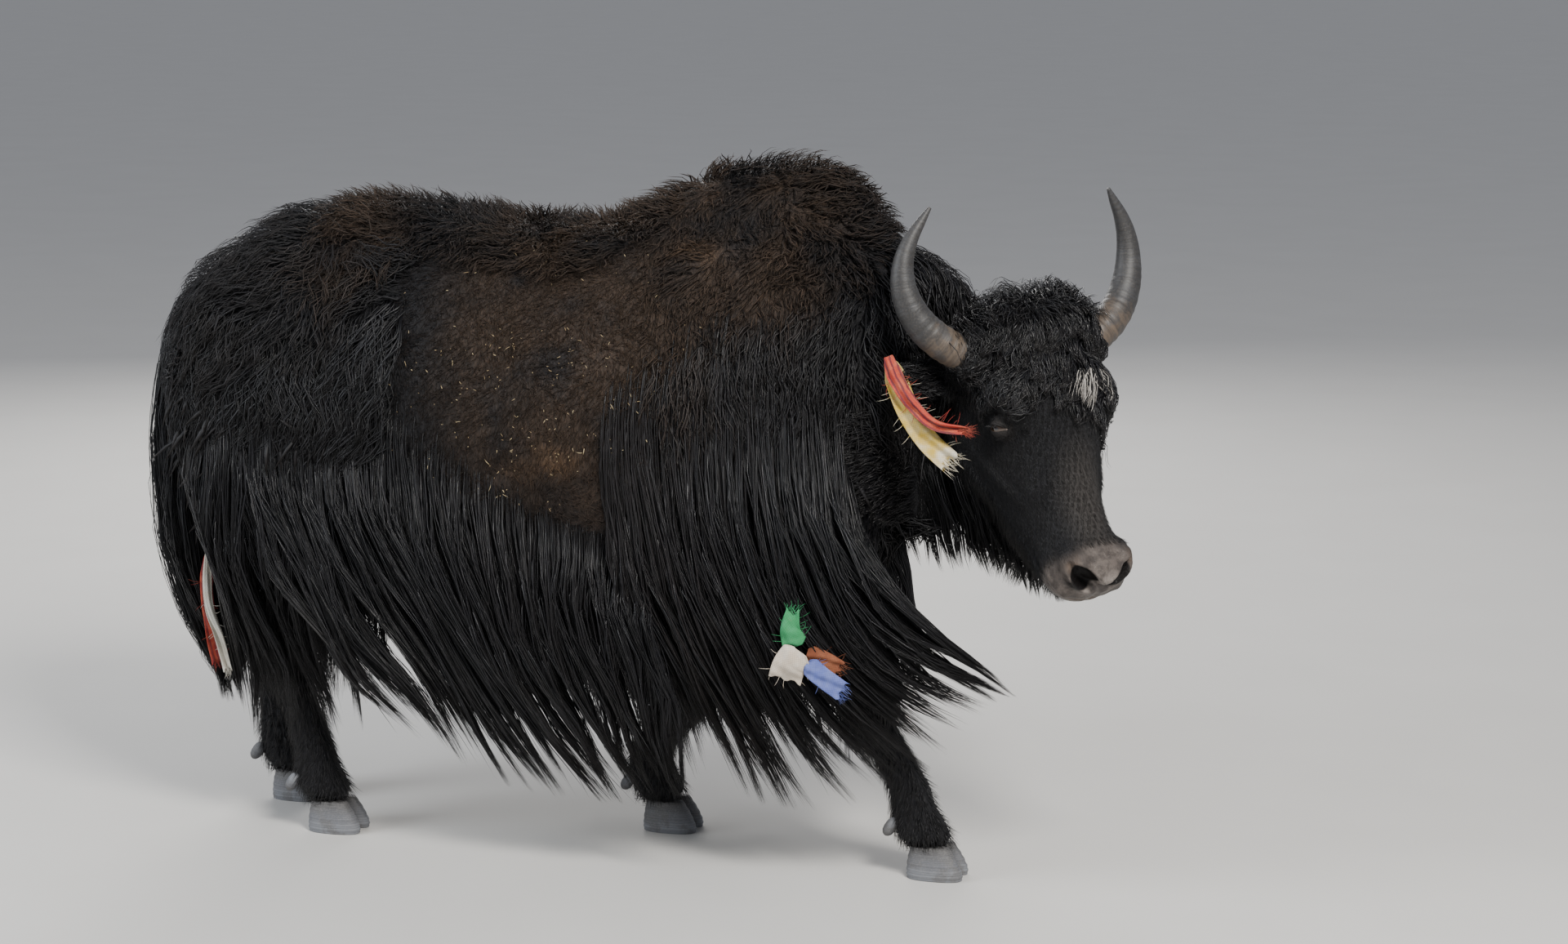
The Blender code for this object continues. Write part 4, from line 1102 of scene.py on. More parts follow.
@dataclass
class Ground:
    """The skin, as the ground that hair grows on and lies along."""

    skin: bpy.types.Object

    def __post_init__(self) -> None:
        """Sorts the skin's faces for quick searches."""
        bm = bmesh.new()
        bm.from_mesh(self.skin.data)
        self.tree = BVHTree.FromBMesh(bm)
        bm.free()

    def scattered(self, count: int, rng: np.random.Generator) -> Roots:
        """Random roots, evenly over the skin.

        Args:
            count: How many.
            rng: The source of chance.

        Returns:
            The roots.
        """
        mesh = self.skin.data
        mesh.calc_loop_triangles()
        corners = np.empty(len(mesh.loop_triangles) * 3, np.int32)
        mesh.loop_triangles.foreach_get("vertices", corners)
        corners = corners.reshape(-1, 3)
        places, ways = places_of(mesh), normals_of(mesh)
        a, b, c = (places[corners[:, i]] for i in range(3))
        areas = np.linalg.norm(np.cross(b - a, c - a), axis=1)
        chosen = np.searchsorted(np.cumsum(areas), rng.random(count) * areas.sum())
        chosen = np.minimum(chosen, len(areas) - 1)
        one, two = rng.random((2, count, 1))
        flip = one + two > 1
        one, two = np.where(flip, 1 - one, one), np.where(flip, 1 - two, two)
        picked = corners[chosen]
        spots = a[chosen] + (b - a)[chosen] * one + (c - a)[chosen] * two
        turned = (ways[picked[:, 0]] * (1 - one - two) + ways[picked[:, 1]] * one
                  + ways[picked[:, 2]] * two)
        return Roots(spots, unit(turned))

    def nearest(self, points: np.ndarray) -> tuple[np.ndarray, np.ndarray]:
        """The skin's nearest point to each point, and the way out of it there."""
        found = [self.tree.find_nearest(p)[:2] for p in points.tolist()]
        return (np.array([tuple(f[0]) for f in found]), np.array([tuple(f[1]) for f in found]))

    def reach(self, x: np.ndarray, z: np.ndarray, side: Side) -> np.ndarray:
        """How far from the middle the skin lies on one side.

        Args:
            x: Places along the body, in an array of any shape.
            z: Heights, in the same shape.
            side: The side that it is seen from.

        Returns:
            The distance, or 0 where there is no skin.
        """
        way = Vector((0, -side.value, 0))
        found = []
        for a, b in zip(x.ravel().tolist(), z.ravel().tolist()):
            hit = self.tree.ray_cast((a, side.value, b), way, 1.1)[0]
            found.append(abs(hit.y - SHIFT[1]) if hit else 0.0)
        return np.array(found).reshape(x.shape)


class Unwrap(Enum):
    """The kinds of unwrap that place the tufts on the bake's map."""

    BODY = "body"
    HEAD = "head"
    LEGS = "legs"

    def places(self, roots: np.ndarray) -> np.ndarray:
        """Each root's place on the unwrap, before it is fitted to the map.

        Args:
            roots: Points on the skin.

        Returns:
            Two numbers for each.
        """
        if self is Unwrap.HEAD:
            a, left, out = HEAD.seen(roots).T
            return np.stack((np.arctan2(left, out + 0.14) * 0.14, a), 1)
        x, y, z = roots.T
        if self is Unwrap.LEGS:
            fore = x > -0.2
            column = fore * 2 + (y > 0)
            middle_x = np.where(fore, np.where(y > 0, 0.05, 0.60), np.where(y > 0, -0.80, -0.65))
            middle_y = np.where(y > 0, 0.11, -0.12)
            around = np.arctan2(y - middle_y, x - middle_x) * 0.06
            return np.stack((around + column * 0.42, z), 1)
        return np.stack((x, np.arctan2(y, z - 0.80) * 0.34), 1)


@dataclass
class Locks:
    """Many closed, tapered, three-sided locks that become one mesh."""

    name: str
    finish: CoatFinish
    unwrap: Unwrap = Unwrap.BODY
    patch: float = 0.003
    parts: list = field(default_factory=list)

    def add(self, paths: np.ndarray, width: np.ndarray, ups: np.ndarray,
            tones: np.ndarray, roots: np.ndarray | None = None) -> None:
        """Adds locks.

        Args:
            paths: Points along each lock, from its root to its tip.
            width: Each lock's width at each point but the tip.
            ups: The way that each lock's ridge faces.
            tones: A number from 0 to 1 for each lock, for its colour.
            roots: Where each grows, if that isn't its first point.
        """
        count, steps = paths.shape[:2]
        rings = steps - 1
        way = np.empty_like(paths[:, :rings])
        way[:, 0] = paths[:, 1] - paths[:, 0]
        way[:, 1:] = paths[:, 2:] - paths[:, :-2]
        way = unit(way)
        side = unit(np.cross(way, ups[:, None, :]))
        up = np.cross(side, way)
        half = width[..., None] / 2
        centre = paths[:, :rings]
        ring = np.stack((centre - side * half, centre + up * half * 0.8,
                         centre + side * half), 2)
        points = np.concatenate((ring.reshape(count, rings * 3, 3), paths[:, -1:]), 1)
        size = rings * 3 + 1
        faces = [(0, 2, 1)]
        for i in range(rings - 1):
            for j in range(3):
                k = (j + 1) % 3
                faces += [(3 * i + j, 3 * i + k, 3 * i + 3 + k),
                          (3 * i + j, 3 * i + 3 + k, 3 * i + 3 + j)]
        last = 3 * (rings - 1)
        faces += [(last + j, last + (j + 1) % 3, size - 1) for j in range(3)]
        across = np.append(np.tile((0.0, 0.5, 1.0), rings), 0.5)
        along = np.append(np.repeat(np.arange(rings), 3), rings) / rings
        strand = np.broadcast_to(np.stack((across, along), 1), (count, size, 2))
        self.parts.append((points, np.array(faces), strand,
                           paths[:, 0] if roots is None else roots, tones))

    def build(self) -> bpy.types.Object:
        """The mesh with its maps and attributes.

        Returns:
            The object, dressed.
        """
        points, faces, strands, roots, tones, start = [], [], [], [], [], 0
        for part, pattern, strand, root, tone in self.parts:
            count, size = part.shape[:2]
            offsets = start + np.arange(count) * size
            faces.append((pattern[None] + offsets[:, None, None]).reshape(-1, 3))
            points.append(part.reshape(-1, 3))
            strands.append(strand.reshape(-1, 2))
            roots.append(np.repeat(root, size, 0))
            tones.append(np.repeat(tone, size))
            start += count * size
        points, faces, strands, roots, tones = map(
            np.concatenate, (points, faces, strands, roots, tones))
        mesh = bpy.data.meshes.new(self.name)
        mesh.vertices.add(len(points))
        mesh.vertices.foreach_set("co", points.astype(np.float32).ravel())
        mesh.loops.add(faces.size)
        mesh.loops.foreach_set("vertex_index", faces.astype(np.int32).ravel())
        mesh.polygons.add(len(faces))
        mesh.polygons.foreach_set("loop_start", np.arange(0, faces.size, 3, dtype=np.int32))
        mesh.update(calc_edges=True)
        mesh.shade_smooth()
        flat = faces.ravel()
        plan = self.unwrap.places(roots)
        low, high = plan.min(0), plan.max(0)
        plan = (plan - low) / (high - low) * (1 - 4 * self.patch) + 2 * self.patch
        plan += (strands - 0.5) * self.patch
        for name, values in (("OFBake", plan), ("strand", strands)):
            layer = mesh.uv_layers.new(name=name)
            layer.data.foreach_set("uv", values[flat].astype(np.float32).ravel())
        kept = mesh.attributes.new("root", "FLOAT_VECTOR", "POINT")
        kept.data.foreach_set("vector", roots.astype(np.float32).ravel())
        kept = mesh.attributes.new("tone", "FLOAT", "POINT")
        kept.data.foreach_set("value", tones.astype(np.float32))
        made = linked(mesh, self.name)
        mesh.materials.append(self.finish.material())
        return made


@dataclass(frozen=True)
class Fur:
    """One kind of fur: how dense, long, wide, raised, clumped and waved it is."""

    gap: float
    length: float
    width: float
    lift: float = 20
    stray: float = 0.30
    rings: int = 2
    clump: float = 0.0
    gather: float = 0.6
    wave: float = 0.0
    waves: float = 1.2
    sink: float = 0.002

    def trail(self, ground: Ground, roots: Roots, ways: np.ndarray,
              rng: np.random.Generator) -> np.ndarray:
        """The middle lines of the tufts, laid along the skin.

        Args:
            ground: The skin.
            roots: Where tufts grow.
            ways: The way that the hair lies at each.
            rng: The source of chance.

        Returns:
            Points from root to tip for each.
        """
        count = roots.count
        normal = roots.ways
        ways = unit(ways) + rng.normal(0, self.stray, (count, 3))
        length = self.length * rng.uniform(0.6, 1.25, count)
        height = length * np.sin(np.radians(self.lift)) * rng.uniform(0.3, 1.6, count)
        paths = [roots.places - normal * self.sink]
        base = roots.places
        for i in range(self.rings):
            t = (i + 1) / self.rings
            flat = unit(ways - normal * np.sum(ways * normal, 1, keepdims=True))
            base = base + flat * (length / self.rings)[:, None]
            if self.rings > 2:
                base, normal = ground.nearest(base)
            paths.append(base + normal * (height * t ** 0.7 + 0.0006)[:, None])
        return np.stack(paths, 1)

    def grow(self, locks: Locks, ground: Ground, roots: Roots, ways: np.ndarray,
             rng: np.random.Generator) -> None:
        """Adds a tuft at every root.

        Args:
            locks: The piece that it becomes part of.
            ground: The skin.
            roots: Where tufts grow.
            ways: The way that the hair lies there.
            rng: The source of chance.
        """
        count = roots.count
        if not count:
            return
        paths = self.trail(ground, roots, ways, rng)
        share = np.linspace(0, 1, self.rings + 1)
        phase = rng.uniform(0, TURN, count)
        if self.clump:
            _, clump = np.unique(roots.cells(self.clump), return_inverse=True)
            clump = clump.ravel()
            size = np.bincount(clump)[:, None]
            flat = paths.reshape(count, -1)
            middle = np.stack([np.bincount(clump, column) for column in flat.T], 1) / size
            middle = middle[clump].reshape(paths.shape)
            pull = ease(share, 0.1, 1.0) * self.gather
            paths += (middle - paths) * pull[None, :, None]
            phase = rng.uniform(0, TURN, len(size))[clump] + rng.normal(0, 0.5, count)
        if self.wave:
            side = unit(np.cross(roots.ways, paths[:, -1] - paths[:, 0]))
            rate = self.waves * rng.uniform(0.75, 1.3, count)
            turn = phase[:, None] + rate[:, None] * TURN * share
            swing = self.wave * (np.sin(turn) - np.sin(phase)[:, None])
            rise = self.wave * 0.35 * (np.cos(turn * 1.3) + 1) * ease(share, 0, 0.3)
            paths += side[:, None] * swing[..., None] + roots.ways[:, None] * rise[..., None]
        taper = np.interp(np.linspace(0, 1, self.rings, endpoint=False),
                          (0, 0.3, 1), (0.85, 1.0, 0.35))
        width = self.width * rng.uniform(0.6, 1.35, count)[:, None] * taper
        locks.add(paths, width, roots.ways, rng.random(count), roots.places)


@dataclass
class Pelt:
    """The coat that lies on the body: wool, mane, forelock and short fur."""

    ground: Ground
    seed: int = 11
    tries: int = 1_300_000
    skirt_line: Rows = ((-0.85, 0.96), (-0.53, 0.90), (-0.38, 0.82), (-0.20, 0.735),
                        (-0.04, 0.68), (0.10, 0.66), (0.20, 0.84), (0.50, 0.86))
    wool: Fur = Fur(0.0060, 0.027, 0.0023, 22, 0.65, 1)
    hump: Fur = Fur(0.0086, 0.038, 0.0028, 24, 0.50, 2, 0.026, 0.35)
    shoulder: Fur = Fur(0.0105, 0.095, 0.0032, 10, 0.22, 4, 0.030, 0.50, 0.0050, 1.1)
    crest: Fur = Fur(0.0084, 0.048, 0.0028, 42, 0.45, 3, 0.026, 0.60, 0.0040, 0.9)
    rump: Fur = Fur(0.0112, 0.100, 0.0032, 22, 0.28, 4, 0.036, 0.65, 0.0070, 1.2)
    haunch: Fur = Fur(0.0088, 0.190, 0.0034, 8, 0.12, 6, 0.042, 0.75, 0.0120, 1.5)
    neck: Fur = Fur(0.0118, 0.120, 0.0036, 12, 0.18, 5, 0.034, 0.60, 0.0070, 1.3)
    under: Fur = Fur(0.0270, 0.080, 0.0130, 25, 0.3)
    face: Fur = Fur(0.0031, 0.0150, 0.0013, 13, 0.22, 1, 0.010, 0.55)
    muzzle: Fur = Fur(0.0048, 0.0055, 0.0008, 12, 0.3, 1)
    cheek: Fur = Fur(0.0050, 0.030, 0.0017, 17, 0.25, 1, 0.015, 0.60)
    forelock: Fur = Fur(0.0057, 0.072, 0.0025, 9, 0.20, 6, 0.026, 0.84, 0.0064, 1.15)
    poll: Fur = Fur(0.0053, 0.058, 0.0022, 38, 0.35, 4, 0.018, 0.65, 0.0045, 0.9)
    ears: Fur = Fur(0.0062, 0.056, 0.0021, 20, 0.25, 3, 0.018, 0.60, 0.0030)
    white: Fur = Fur(0.0030, 0.086, 0.0016, 15, 0.14, 6, 0.014, 0.6, 0.0042, 0.8)
    shank: Fur = Fur(0.0066, 0.036, 0.0021, 20, 0.22, 1, 0.016, 0.55)
    spine: Fur = Fur(0.0082, 0.046, 0.0028, 40, 0.45, 3, 0.024, 0.55, 0.0030, 0.9)
    thigh: Fur = Fur(0.0100, 0.070, 0.0034, 16, 0.20, 3, 0.026, 0.6, 0.0040, 1.0)
    coronet: Fur = Fur(0.0056, 0.036, 0.0024, 22, 0.20, 3)

    def regions(self, roots: Roots) -> dict[str, np.ndarray]:
        """Which roots belong to which kind of fur.

        Args:
            roots: Points on the skin.

        Returns:
            A mask for each kind, with no root in two.
        """
        x, y, z = (roots.places - SHIFT).T
        a, left, out = HEAD.seen(roots.places).T
        head = (a > -0.03 - 0.45 * out) & (a < 0.57) & (out > -0.36) & (np.abs(left) < 0.30)
        ear = head & (np.abs(left) > 0.150) | (
            (np.abs(left) > 0.150) & (np.abs(a - 0.08) < 0.16) & (out > -0.30) & (x > 0.60))
        head &= ~ear
        line = np.interp(x, *np.array(self.skirt_line).T)
        legs = ~head & ~ear & (z < 0.42)
        trunk = ~head & ~ear & ~legs
        neck = trunk & (x > 0.50)
        trunk &= ~neck
        hang = trunk & (z < line - 0.06)
        trunk &= ~hang
        crest = trunk & (((x > 0.34) & (z > 1.14)) | ((x > 0.10) & (z > 1.31)))
        trunk &= ~crest
        spine = trunk & (roots.ways[:, 2] > 0.72) & (x < 0.12) & (x > -0.62)
        trunk &= ~spine
        hump = trunk & (x > 0.12 - 0.25 * (z - 1.0))
        trunk &= ~hump
        shoulder = hump & (z < 1.02 + 0.35 * (x - 0.20) + 0.03 * np.sin(x * 70))
        hump &= ~shoulder
        edge = 0.05 * wander(roots.places, 0.16, np.random.default_rng(3))
        back = trunk & (x < -0.40 + edge)
        rump = back & (z > 1.08 + 0.25 * (x + 0.40) + edge)
        nose = head & (a > 0.450)
        lock = head & (a < 0.168 + 0.020 * np.sin(left * 60) + 0.075 * ease(left, 0.0, 0.1)
                       - 0.035 * ease(-left, 0.08, 0.12)
                       ) & (out > -0.036 - 0.075 * ease(left, 0.05, 0.1)
                            - 0.035 * ease(-left, 0.06, 0.11))
        poll = lock & (a < 0.012)
        cheek = head & ~nose & ~lock & ((out < -0.17 - (0.30 - a) * 0.1) | (a < 0.10))
        slit = np.zeros(roots.count, bool)
        for side in Side:
            gap = roots.places - HEAD.eye(side)
            outwards, forwards, upwards = HEAD.gaze(side)
            slit |= (np.hypot(gap @ forwards / 1.25, gap @ upwards) < 0.0185) & (
                gap @ outwards > -0.01)
        bare = head & (a > 0.487)
        masks = {
            "wool": trunk & ~back, "hump": hump, "shoulder": shoulder, "crest": crest,
            "rump": rump, "spine": spine,
            "haunch": back & ~rump, "neck": neck, "under": hang, "ears": ear, "muzzle": nose,
            "poll": poll, "forelock": lock & ~poll, "cheek": cheek,
            "face": head & ~nose & ~lock & ~cheek,
            "shank": legs & (z < 0.33) & (z > 0.075), "coronet": legs & (z <= 0.075) & (z > 0.055),
            "thigh": legs & (z >= 0.33)}
        return {name: mask & ~slit & ~bare for name, mask in masks.items()}

    def lie(self, kind: str, roots: Roots, rng: np.random.Generator) -> np.ndarray:
        """The way that the hair lies.

        Args:
            kind: The kind of fur.
            roots: Where it grows.
            rng: The source of chance.

        Returns:
            A direction for each root.
        """
        places = roots.places
        x, y, z = (places - SHIFT).T
        sideways = np.sign(y) * ease(np.abs(y), 0.0, 0.12)
        swirl = np.stack([wander(places, 0.16, rng) for _ in range(3)], 1)
        down = np.zeros((roots.count, 3))
        down[:, 2] = -1
        if kind in ("face", "muzzle", "forelock", "cheek", "poll"):
            a, left, out = HEAD.seen(places).T
            along, leftwards, outwards = HEAD.axes
            ways = along + leftwards * (np.sign(left) * 0.35 * ease(np.abs(left), 0, 0.1))[:, None]
            if kind == "cheek":
                ways = ways * 0.5 - outwards * 0.5 + down * 0.6
            small = np.stack([wander(places, 0.07, rng) for _ in range(3)], 1)
            if kind == "poll":
                forth = (rng.random(roots.count) < ease(a, -0.06, 0.03))[:, None]
                back = np.array((-0.5, 0.1, 0.9))
                return np.where(forth, ways + outwards, back) + swirl * 0.35 + small * 0.2
            if kind == "forelock":
                return ways + swirl * 0.35 + small * 0.22
            return ways + swirl * 0.15
        if kind == "ears":
            skin = Skin()
            ways = np.where((y + SHIFT[1] < HEAD.at(0.1, 0, -0.1)[1])[:, None],
                            skin.ear_way(Side.RIGHT), skin.ear_way(Side.LEFT))
            return ways + down * 0.25
        if kind in ("shank", "thigh", "under", "coronet"):
            return down + np.array((-0.15, 0, 0)) + swirl * 0.1
        if kind == "neck":
            return down + np.array((0.30, 0, 0)) + swirl * 0.25
        ways = down.copy()
        ways[:, 0] = {"wool": -0.45, "spine": -0.6, "rump": -0.8, "haunch": -0.30, "hump": -0.35}.get(kind, 0.05)
        ways[:, 1] = sideways * 0.7
        if kind == "crest":
            ways = ways * 0.6 + np.array((0.45, 0, 0.4))
        return unit(ways) + swirl * {"haunch": 0.22, "shoulder": 0.2, "hump": 0.35}.get(kind, 0.5)

    def build(self) -> list[bpy.types.Object]:
        """Grows every kind and puts them together in a few pieces."""
        rng = np.random.default_rng(self.seed)
        every = self.ground.scattered(self.tries, rng)
        masks = self.regions(every)
        right = every.places[:, 1] < SHIFT[1]
        wool = CoatFinish("coat_wool", 0.80, 0.50, shine=0.2)
        pieces = {
            "coat_wool_right": (wool, Unwrap.BODY, ("wool",), Slot.BROWN, right),
            "coat_wool_left": (wool, Unwrap.BODY, ("wool",), Slot.BROWN, ~right),
            "coat_hump": (CoatFinish("coat_hump", 0.75, 0.40, shine=0.25), Unwrap.BODY,
                          ("hump", "crest", "spine"), Slot.BROWN, None),
            "coat_shoulders": (CoatFinish("coat_shoulders", 0.46, 0.10, 0.5, shine=0.28), Unwrap.BODY,
                               ("shoulder",), Slot.BLACK, None),
            "coat_rump": (CoatFinish("coat_rump", 0.55, 0.15, 0.7, shine=0.28), Unwrap.BODY,
                          ("rump", "under"), Slot.BLACK, None),
            "coat_haunch": (CoatFinish("coat_haunch", 0.42, 0.05, 0.3, shine=0.32), Unwrap.BODY,
                            ("haunch",), Slot.BLACK, None),
            "coat_neck": (CoatFinish("coat_neck", 0.44, 0.08, 0.2, shine=0.30), Unwrap.BODY,
                          ("neck",), Slot.BLACK, None),
            "coat_face": (CoatFinish("coat_face", 0.46, 0.10, cream=True), Unwrap.HEAD,
                          ("face", "muzzle", "cheek", "ears"), Slot.BLACK, None),
            "coat_forelock": (CoatFinish("coat_forelock", 0.36, 0.10, cream=True), Unwrap.HEAD,
                              ("poll", "forelock"), Slot.BLACK, None),
            "coat_legs": (CoatFinish("coat_legs", 0.50, 0.18), Unwrap.LEGS,
                          ("shank", "coronet", "thigh"), Slot.BLACK, None)}
        made = []
        for name, (finish, unwrap, kinds, slot, part) in pieces.items():
            locks = Locks(name, finish, unwrap)
            for kind in kinds:
                fur: Fur = getattr(self, kind)
                mask = masks[kind] if part is None else masks[kind] & part
                roots = every.only(mask).spaced(fur.gap)
                fur.grow(locks, self.ground, roots, self.lie(kind, roots, rng), rng)
                LOG.info("  %s: %d tufts", kind, roots.count)
            if name == "coat_face":
                self.lashes(locks, rng)
            if name == "coat_forelock":
                a, left, out = HEAD.seen(every.places).T
                spot = np.hypot((a - 0.136) / 0.012, (left - 0.068) / 0.024)
                roots = every.only((spot < 1) & (out > -0.05)).spaced(self.white.gap)
                ways = HEAD.axes[0] * 0.85 - HEAD.axes[1] * 0.55 + 0 * roots.places
                self.white.grow(locks, self.ground, roots, ways, rng)
            piece = locks.build()
            made.append(piece)
        return made

    def lashes(self, locks: Locks, rng: np.random.Generator) -> None:
        """Adds the eyelashes, along the edge of each upper lid."""
        for side in Side:
            outwards, forwards, upwards = HEAD.gaze(side)
            spread = np.linspace(-0.85, 0.85, 30)
            radius = Skin().lid_radius + 0.001
            lift = math.radians(Skin().slit_above + 4)
            round_eye = np.sqrt(1 - spread ** 2)[:, None] * (
                outwards * math.cos(lift) + upwards * math.sin(lift))
            roots = HEAD.eye(side) + (forwards * spread[:, None] + round_eye) * radius
            way = unit(outwards * 0.9 - upwards * 0.55 + forwards * spread[:, None] * 0.6)
            length = rng.uniform(0.009, 0.015, len(spread))[:, None]
            middle = roots + way * length * 0.55
            tip = middle + unit(way + upwards * 0.5) * length * 0.45
            width = np.tile((0.0011, 0.0008), (len(spread), 1))
            locks.add(np.stack((roots, middle, tip), 1), width,
                      np.tile(upwards, (len(spread), 1)), np.full(len(spread), 0.1))


@dataclass
class Straws:
    """Bits of dry grass that are caught in the wool of both flanks."""

    ground: Ground
    count: int = 420
    seed: int = 77

    def build(self) -> bpy.types.Object:
        """All the bits, as thin slivers that lie in the outer wool."""
        rng = np.random.default_rng(self.seed)
        every = self.ground.scattered(60_000, rng)
        x, y, z = (every.places - SHIFT).T
        close = np.exp(-((x + 0.12) / 0.20) ** 2 - ((z - 0.92) / 0.17) ** 2)
        close *= (np.abs(y) > 0.12) & (z > 0.70) & (x > -0.40) & (x < 0.30)
        lumpy = 0.5 + 0.5 * wander(every.places, 0.11, rng)
        weight = close * np.clip(lumpy, 0.05, None)
        chosen = rng.choice(every.count, self.count, replace=False, p=weight / weight.sum())
        roots = every.only(chosen)
        normal = roots.ways
        way = rng.normal(size=(self.count, 3))
        way = unit(way - normal * np.sum(way * normal, 1, keepdims=True)
                   + normal * rng.normal(0, 0.12, (self.count, 1)))
        half = rng.choice((0.0015, 0.0025, 0.004, 0.007), (self.count, 1),
                          p=(0.40, 0.30, 0.22, 0.08))
        middle = roots.places + normal * rng.uniform(0.007, 0.012, (self.count, 1))
        bend = np.cross(normal, way) * rng.normal(0, 0.12, (self.count, 1))
        paths = np.stack((middle - way * half, middle + bend * half, middle + way * half), 1)
        width = np.tile((0.0011, 0.0012), (self.count, 1)) * rng.uniform(0.7, 1.3, (self.count, 1))
        locks = Locks("straws", CoatFinish("unused"))
        locks.add(paths, width, normal, rng.random(self.count))
        made = locks.build()
        made.data.materials.clear()
        nodes = Nodes("straw_dry")
        tone = nodes.kept("tone")
        made.data.materials.append(nodes.surface(
            nodes.mix(tone, (0.26, 0.18, 0.09), (0.42, 0.34, 0.20)), 0.7))
        return made


@dataclass
class Fall:
    """A fall of long hair: how many locks, in how many clumps, and how they move."""

    name: str
    node: str
    locks: int
    clumps: int
    seed: int
    steps: int = 7
    width: float = 0.0026
    gather: float = 0.62
    wave: float = 0.010
    ragged: float = 0.05
    rise: float = 0.15
    level: float = 0.0
    sweep: float = 0.0
    fades: Numbers = (-0.6, -0.5, 2.0, 2.1)
    finish: CoatFinish = CoatFinish("long_hair", 0.38, 0.04, 0.12, shine=0.34)
    ground: Ground | None = None

    def spot(self, s: np.ndarray, t: np.ndarray, d: np.ndarray) -> np.ndarray:
        """A point in the fall.

        Args:
            s: How far across it, from 0 to 1.
            t: How far down it.
            d: How deep in it, from 0 at its outside.

        Returns:
            Points in the frame's axes.
        """
        raise NotImplementedError

    def outwards(self, s: np.ndarray) -> np.ndarray:
        """The way that the fall's outside faces, for each lock."""
        raise NotImplementedError

    def build(self) -> bpy.types.Object:
        """Grows the fall.

        Returns:
            The object, dressed, standing for its CAD node.
        """
        rng = np.random.default_rng(self.seed)
        n, many = self.locks, self.clumps
        few = max(6, many // 3)
        big_s = (np.arange(few) + rng.uniform(0.1, 0.9, few)) / few
        small_s = (np.arange(many) + rng.uniform(0.1, 0.9, many)) / many
        near = np.argmin(np.abs(small_s[:, None] - big_s), 1)
        clump = rng.integers(0, many, n)
        group = near[clump]
        s = np.abs(small_s[clump] + rng.normal(0, 0.6 / many, n))
        s = np.where(s > 1, 2 - s, s)
        layer = rng.random(n) ** 1.3
        rise = self.rise * (1 - self.level * ease(s, 0.35, 0.9))
        t0 = np.where(rng.random(n) < 0.55, -rise * rng.random(n) ** 1.8,
                      rng.uniform(-0.02, 0.55, n))
        end = (1 + rng.normal(0, self.ragged, few)[group]
               + rng.normal(0, self.ragged * 0.7, many)[clump]
               + rng.normal(0, self.ragged * 0.5, n))
        short = rng.random(n) < 0.25
        end = np.where(short, t0 + rng.uniform(0.25, 0.60, n), end)
        end = np.clip(end, t0 + 0.2, 1.08)
        share = np.linspace(0, 1, self.steps)[None]
        t = t0[:, None] + (end - t0)[:, None] * share
        pull = ease(t, 0.10, 0.85) * self.gather
        wide = ease(t, 0.60, 1.10) * 0.38
        depth = rng.uniform(0.05, 0.75, many)[clump]
        d = layer[:, None] + (depth - layer)[:, None] * pull * 0.8
        phase = rng.uniform(0, TURN, few)[group][:, None]
        rate = rng.uniform(1.0, 1.9, few)[group][:, None]
        mine = rng.uniform(0, TURN, many)[clump][:, None]
        own = rng.uniform(0, TURN, n)[:, None]
        grown = ease(t, -0.1, 0.5)
        sway = self.wave * grown * (np.sin(phase + rate * TURN * t)
                                    + 0.5 * np.sin(mine + 2.3 * TURN * t)
                                    + 0.20 * np.sin(own + 3.4 * TURN * t))
        across = (s[:, None] + (small_s[clump] - s)[:, None] * pull
                  + (big_s[group] - small_s[clump])[:, None] * wide
                  + (self.sweep * ease(s, *self.fades[:2]) * (1 - ease(s, *self.fades[2:]))
                     )[:, None] * (0.85 * np.clip(t, 0, 1.1) ** 1.8 - 0.62))
        across = np.minimum(across, 1.06)
        places = self.spot(across, t, d)
        ahead = self.spot(across + 0.01, t, d)
        sideways = unit(ahead - places)
        places = places + sideways * sway[..., None]
        ups = self.outwards(s)
        places += ups[:, None, :] * (grown * self.wave * (
            0.45 * np.sin(phase * 1.7 + 1.4 * TURN * t)
            + 0.25 * np.sin(mine * 1.3 + 2.1 * TURN * t)))[..., None]
        taper = np.interp(share[0, :-1], (0, 0.12, 0.6, 1), (0.55, 1.0, 0.9, 0.25))
        fine = np.where(rng.random(n) < 0.30, 0.5, 1.0) * rng.uniform(0.7, 1.3, n)
        width = self.width * fine[:, None] * taper
        locks = Locks(self.name, self.finish)
        locks.add(places, width, ups, rng.random(n))
        made = locks.build()
        if self.node:
            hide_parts(self.node)
        return made


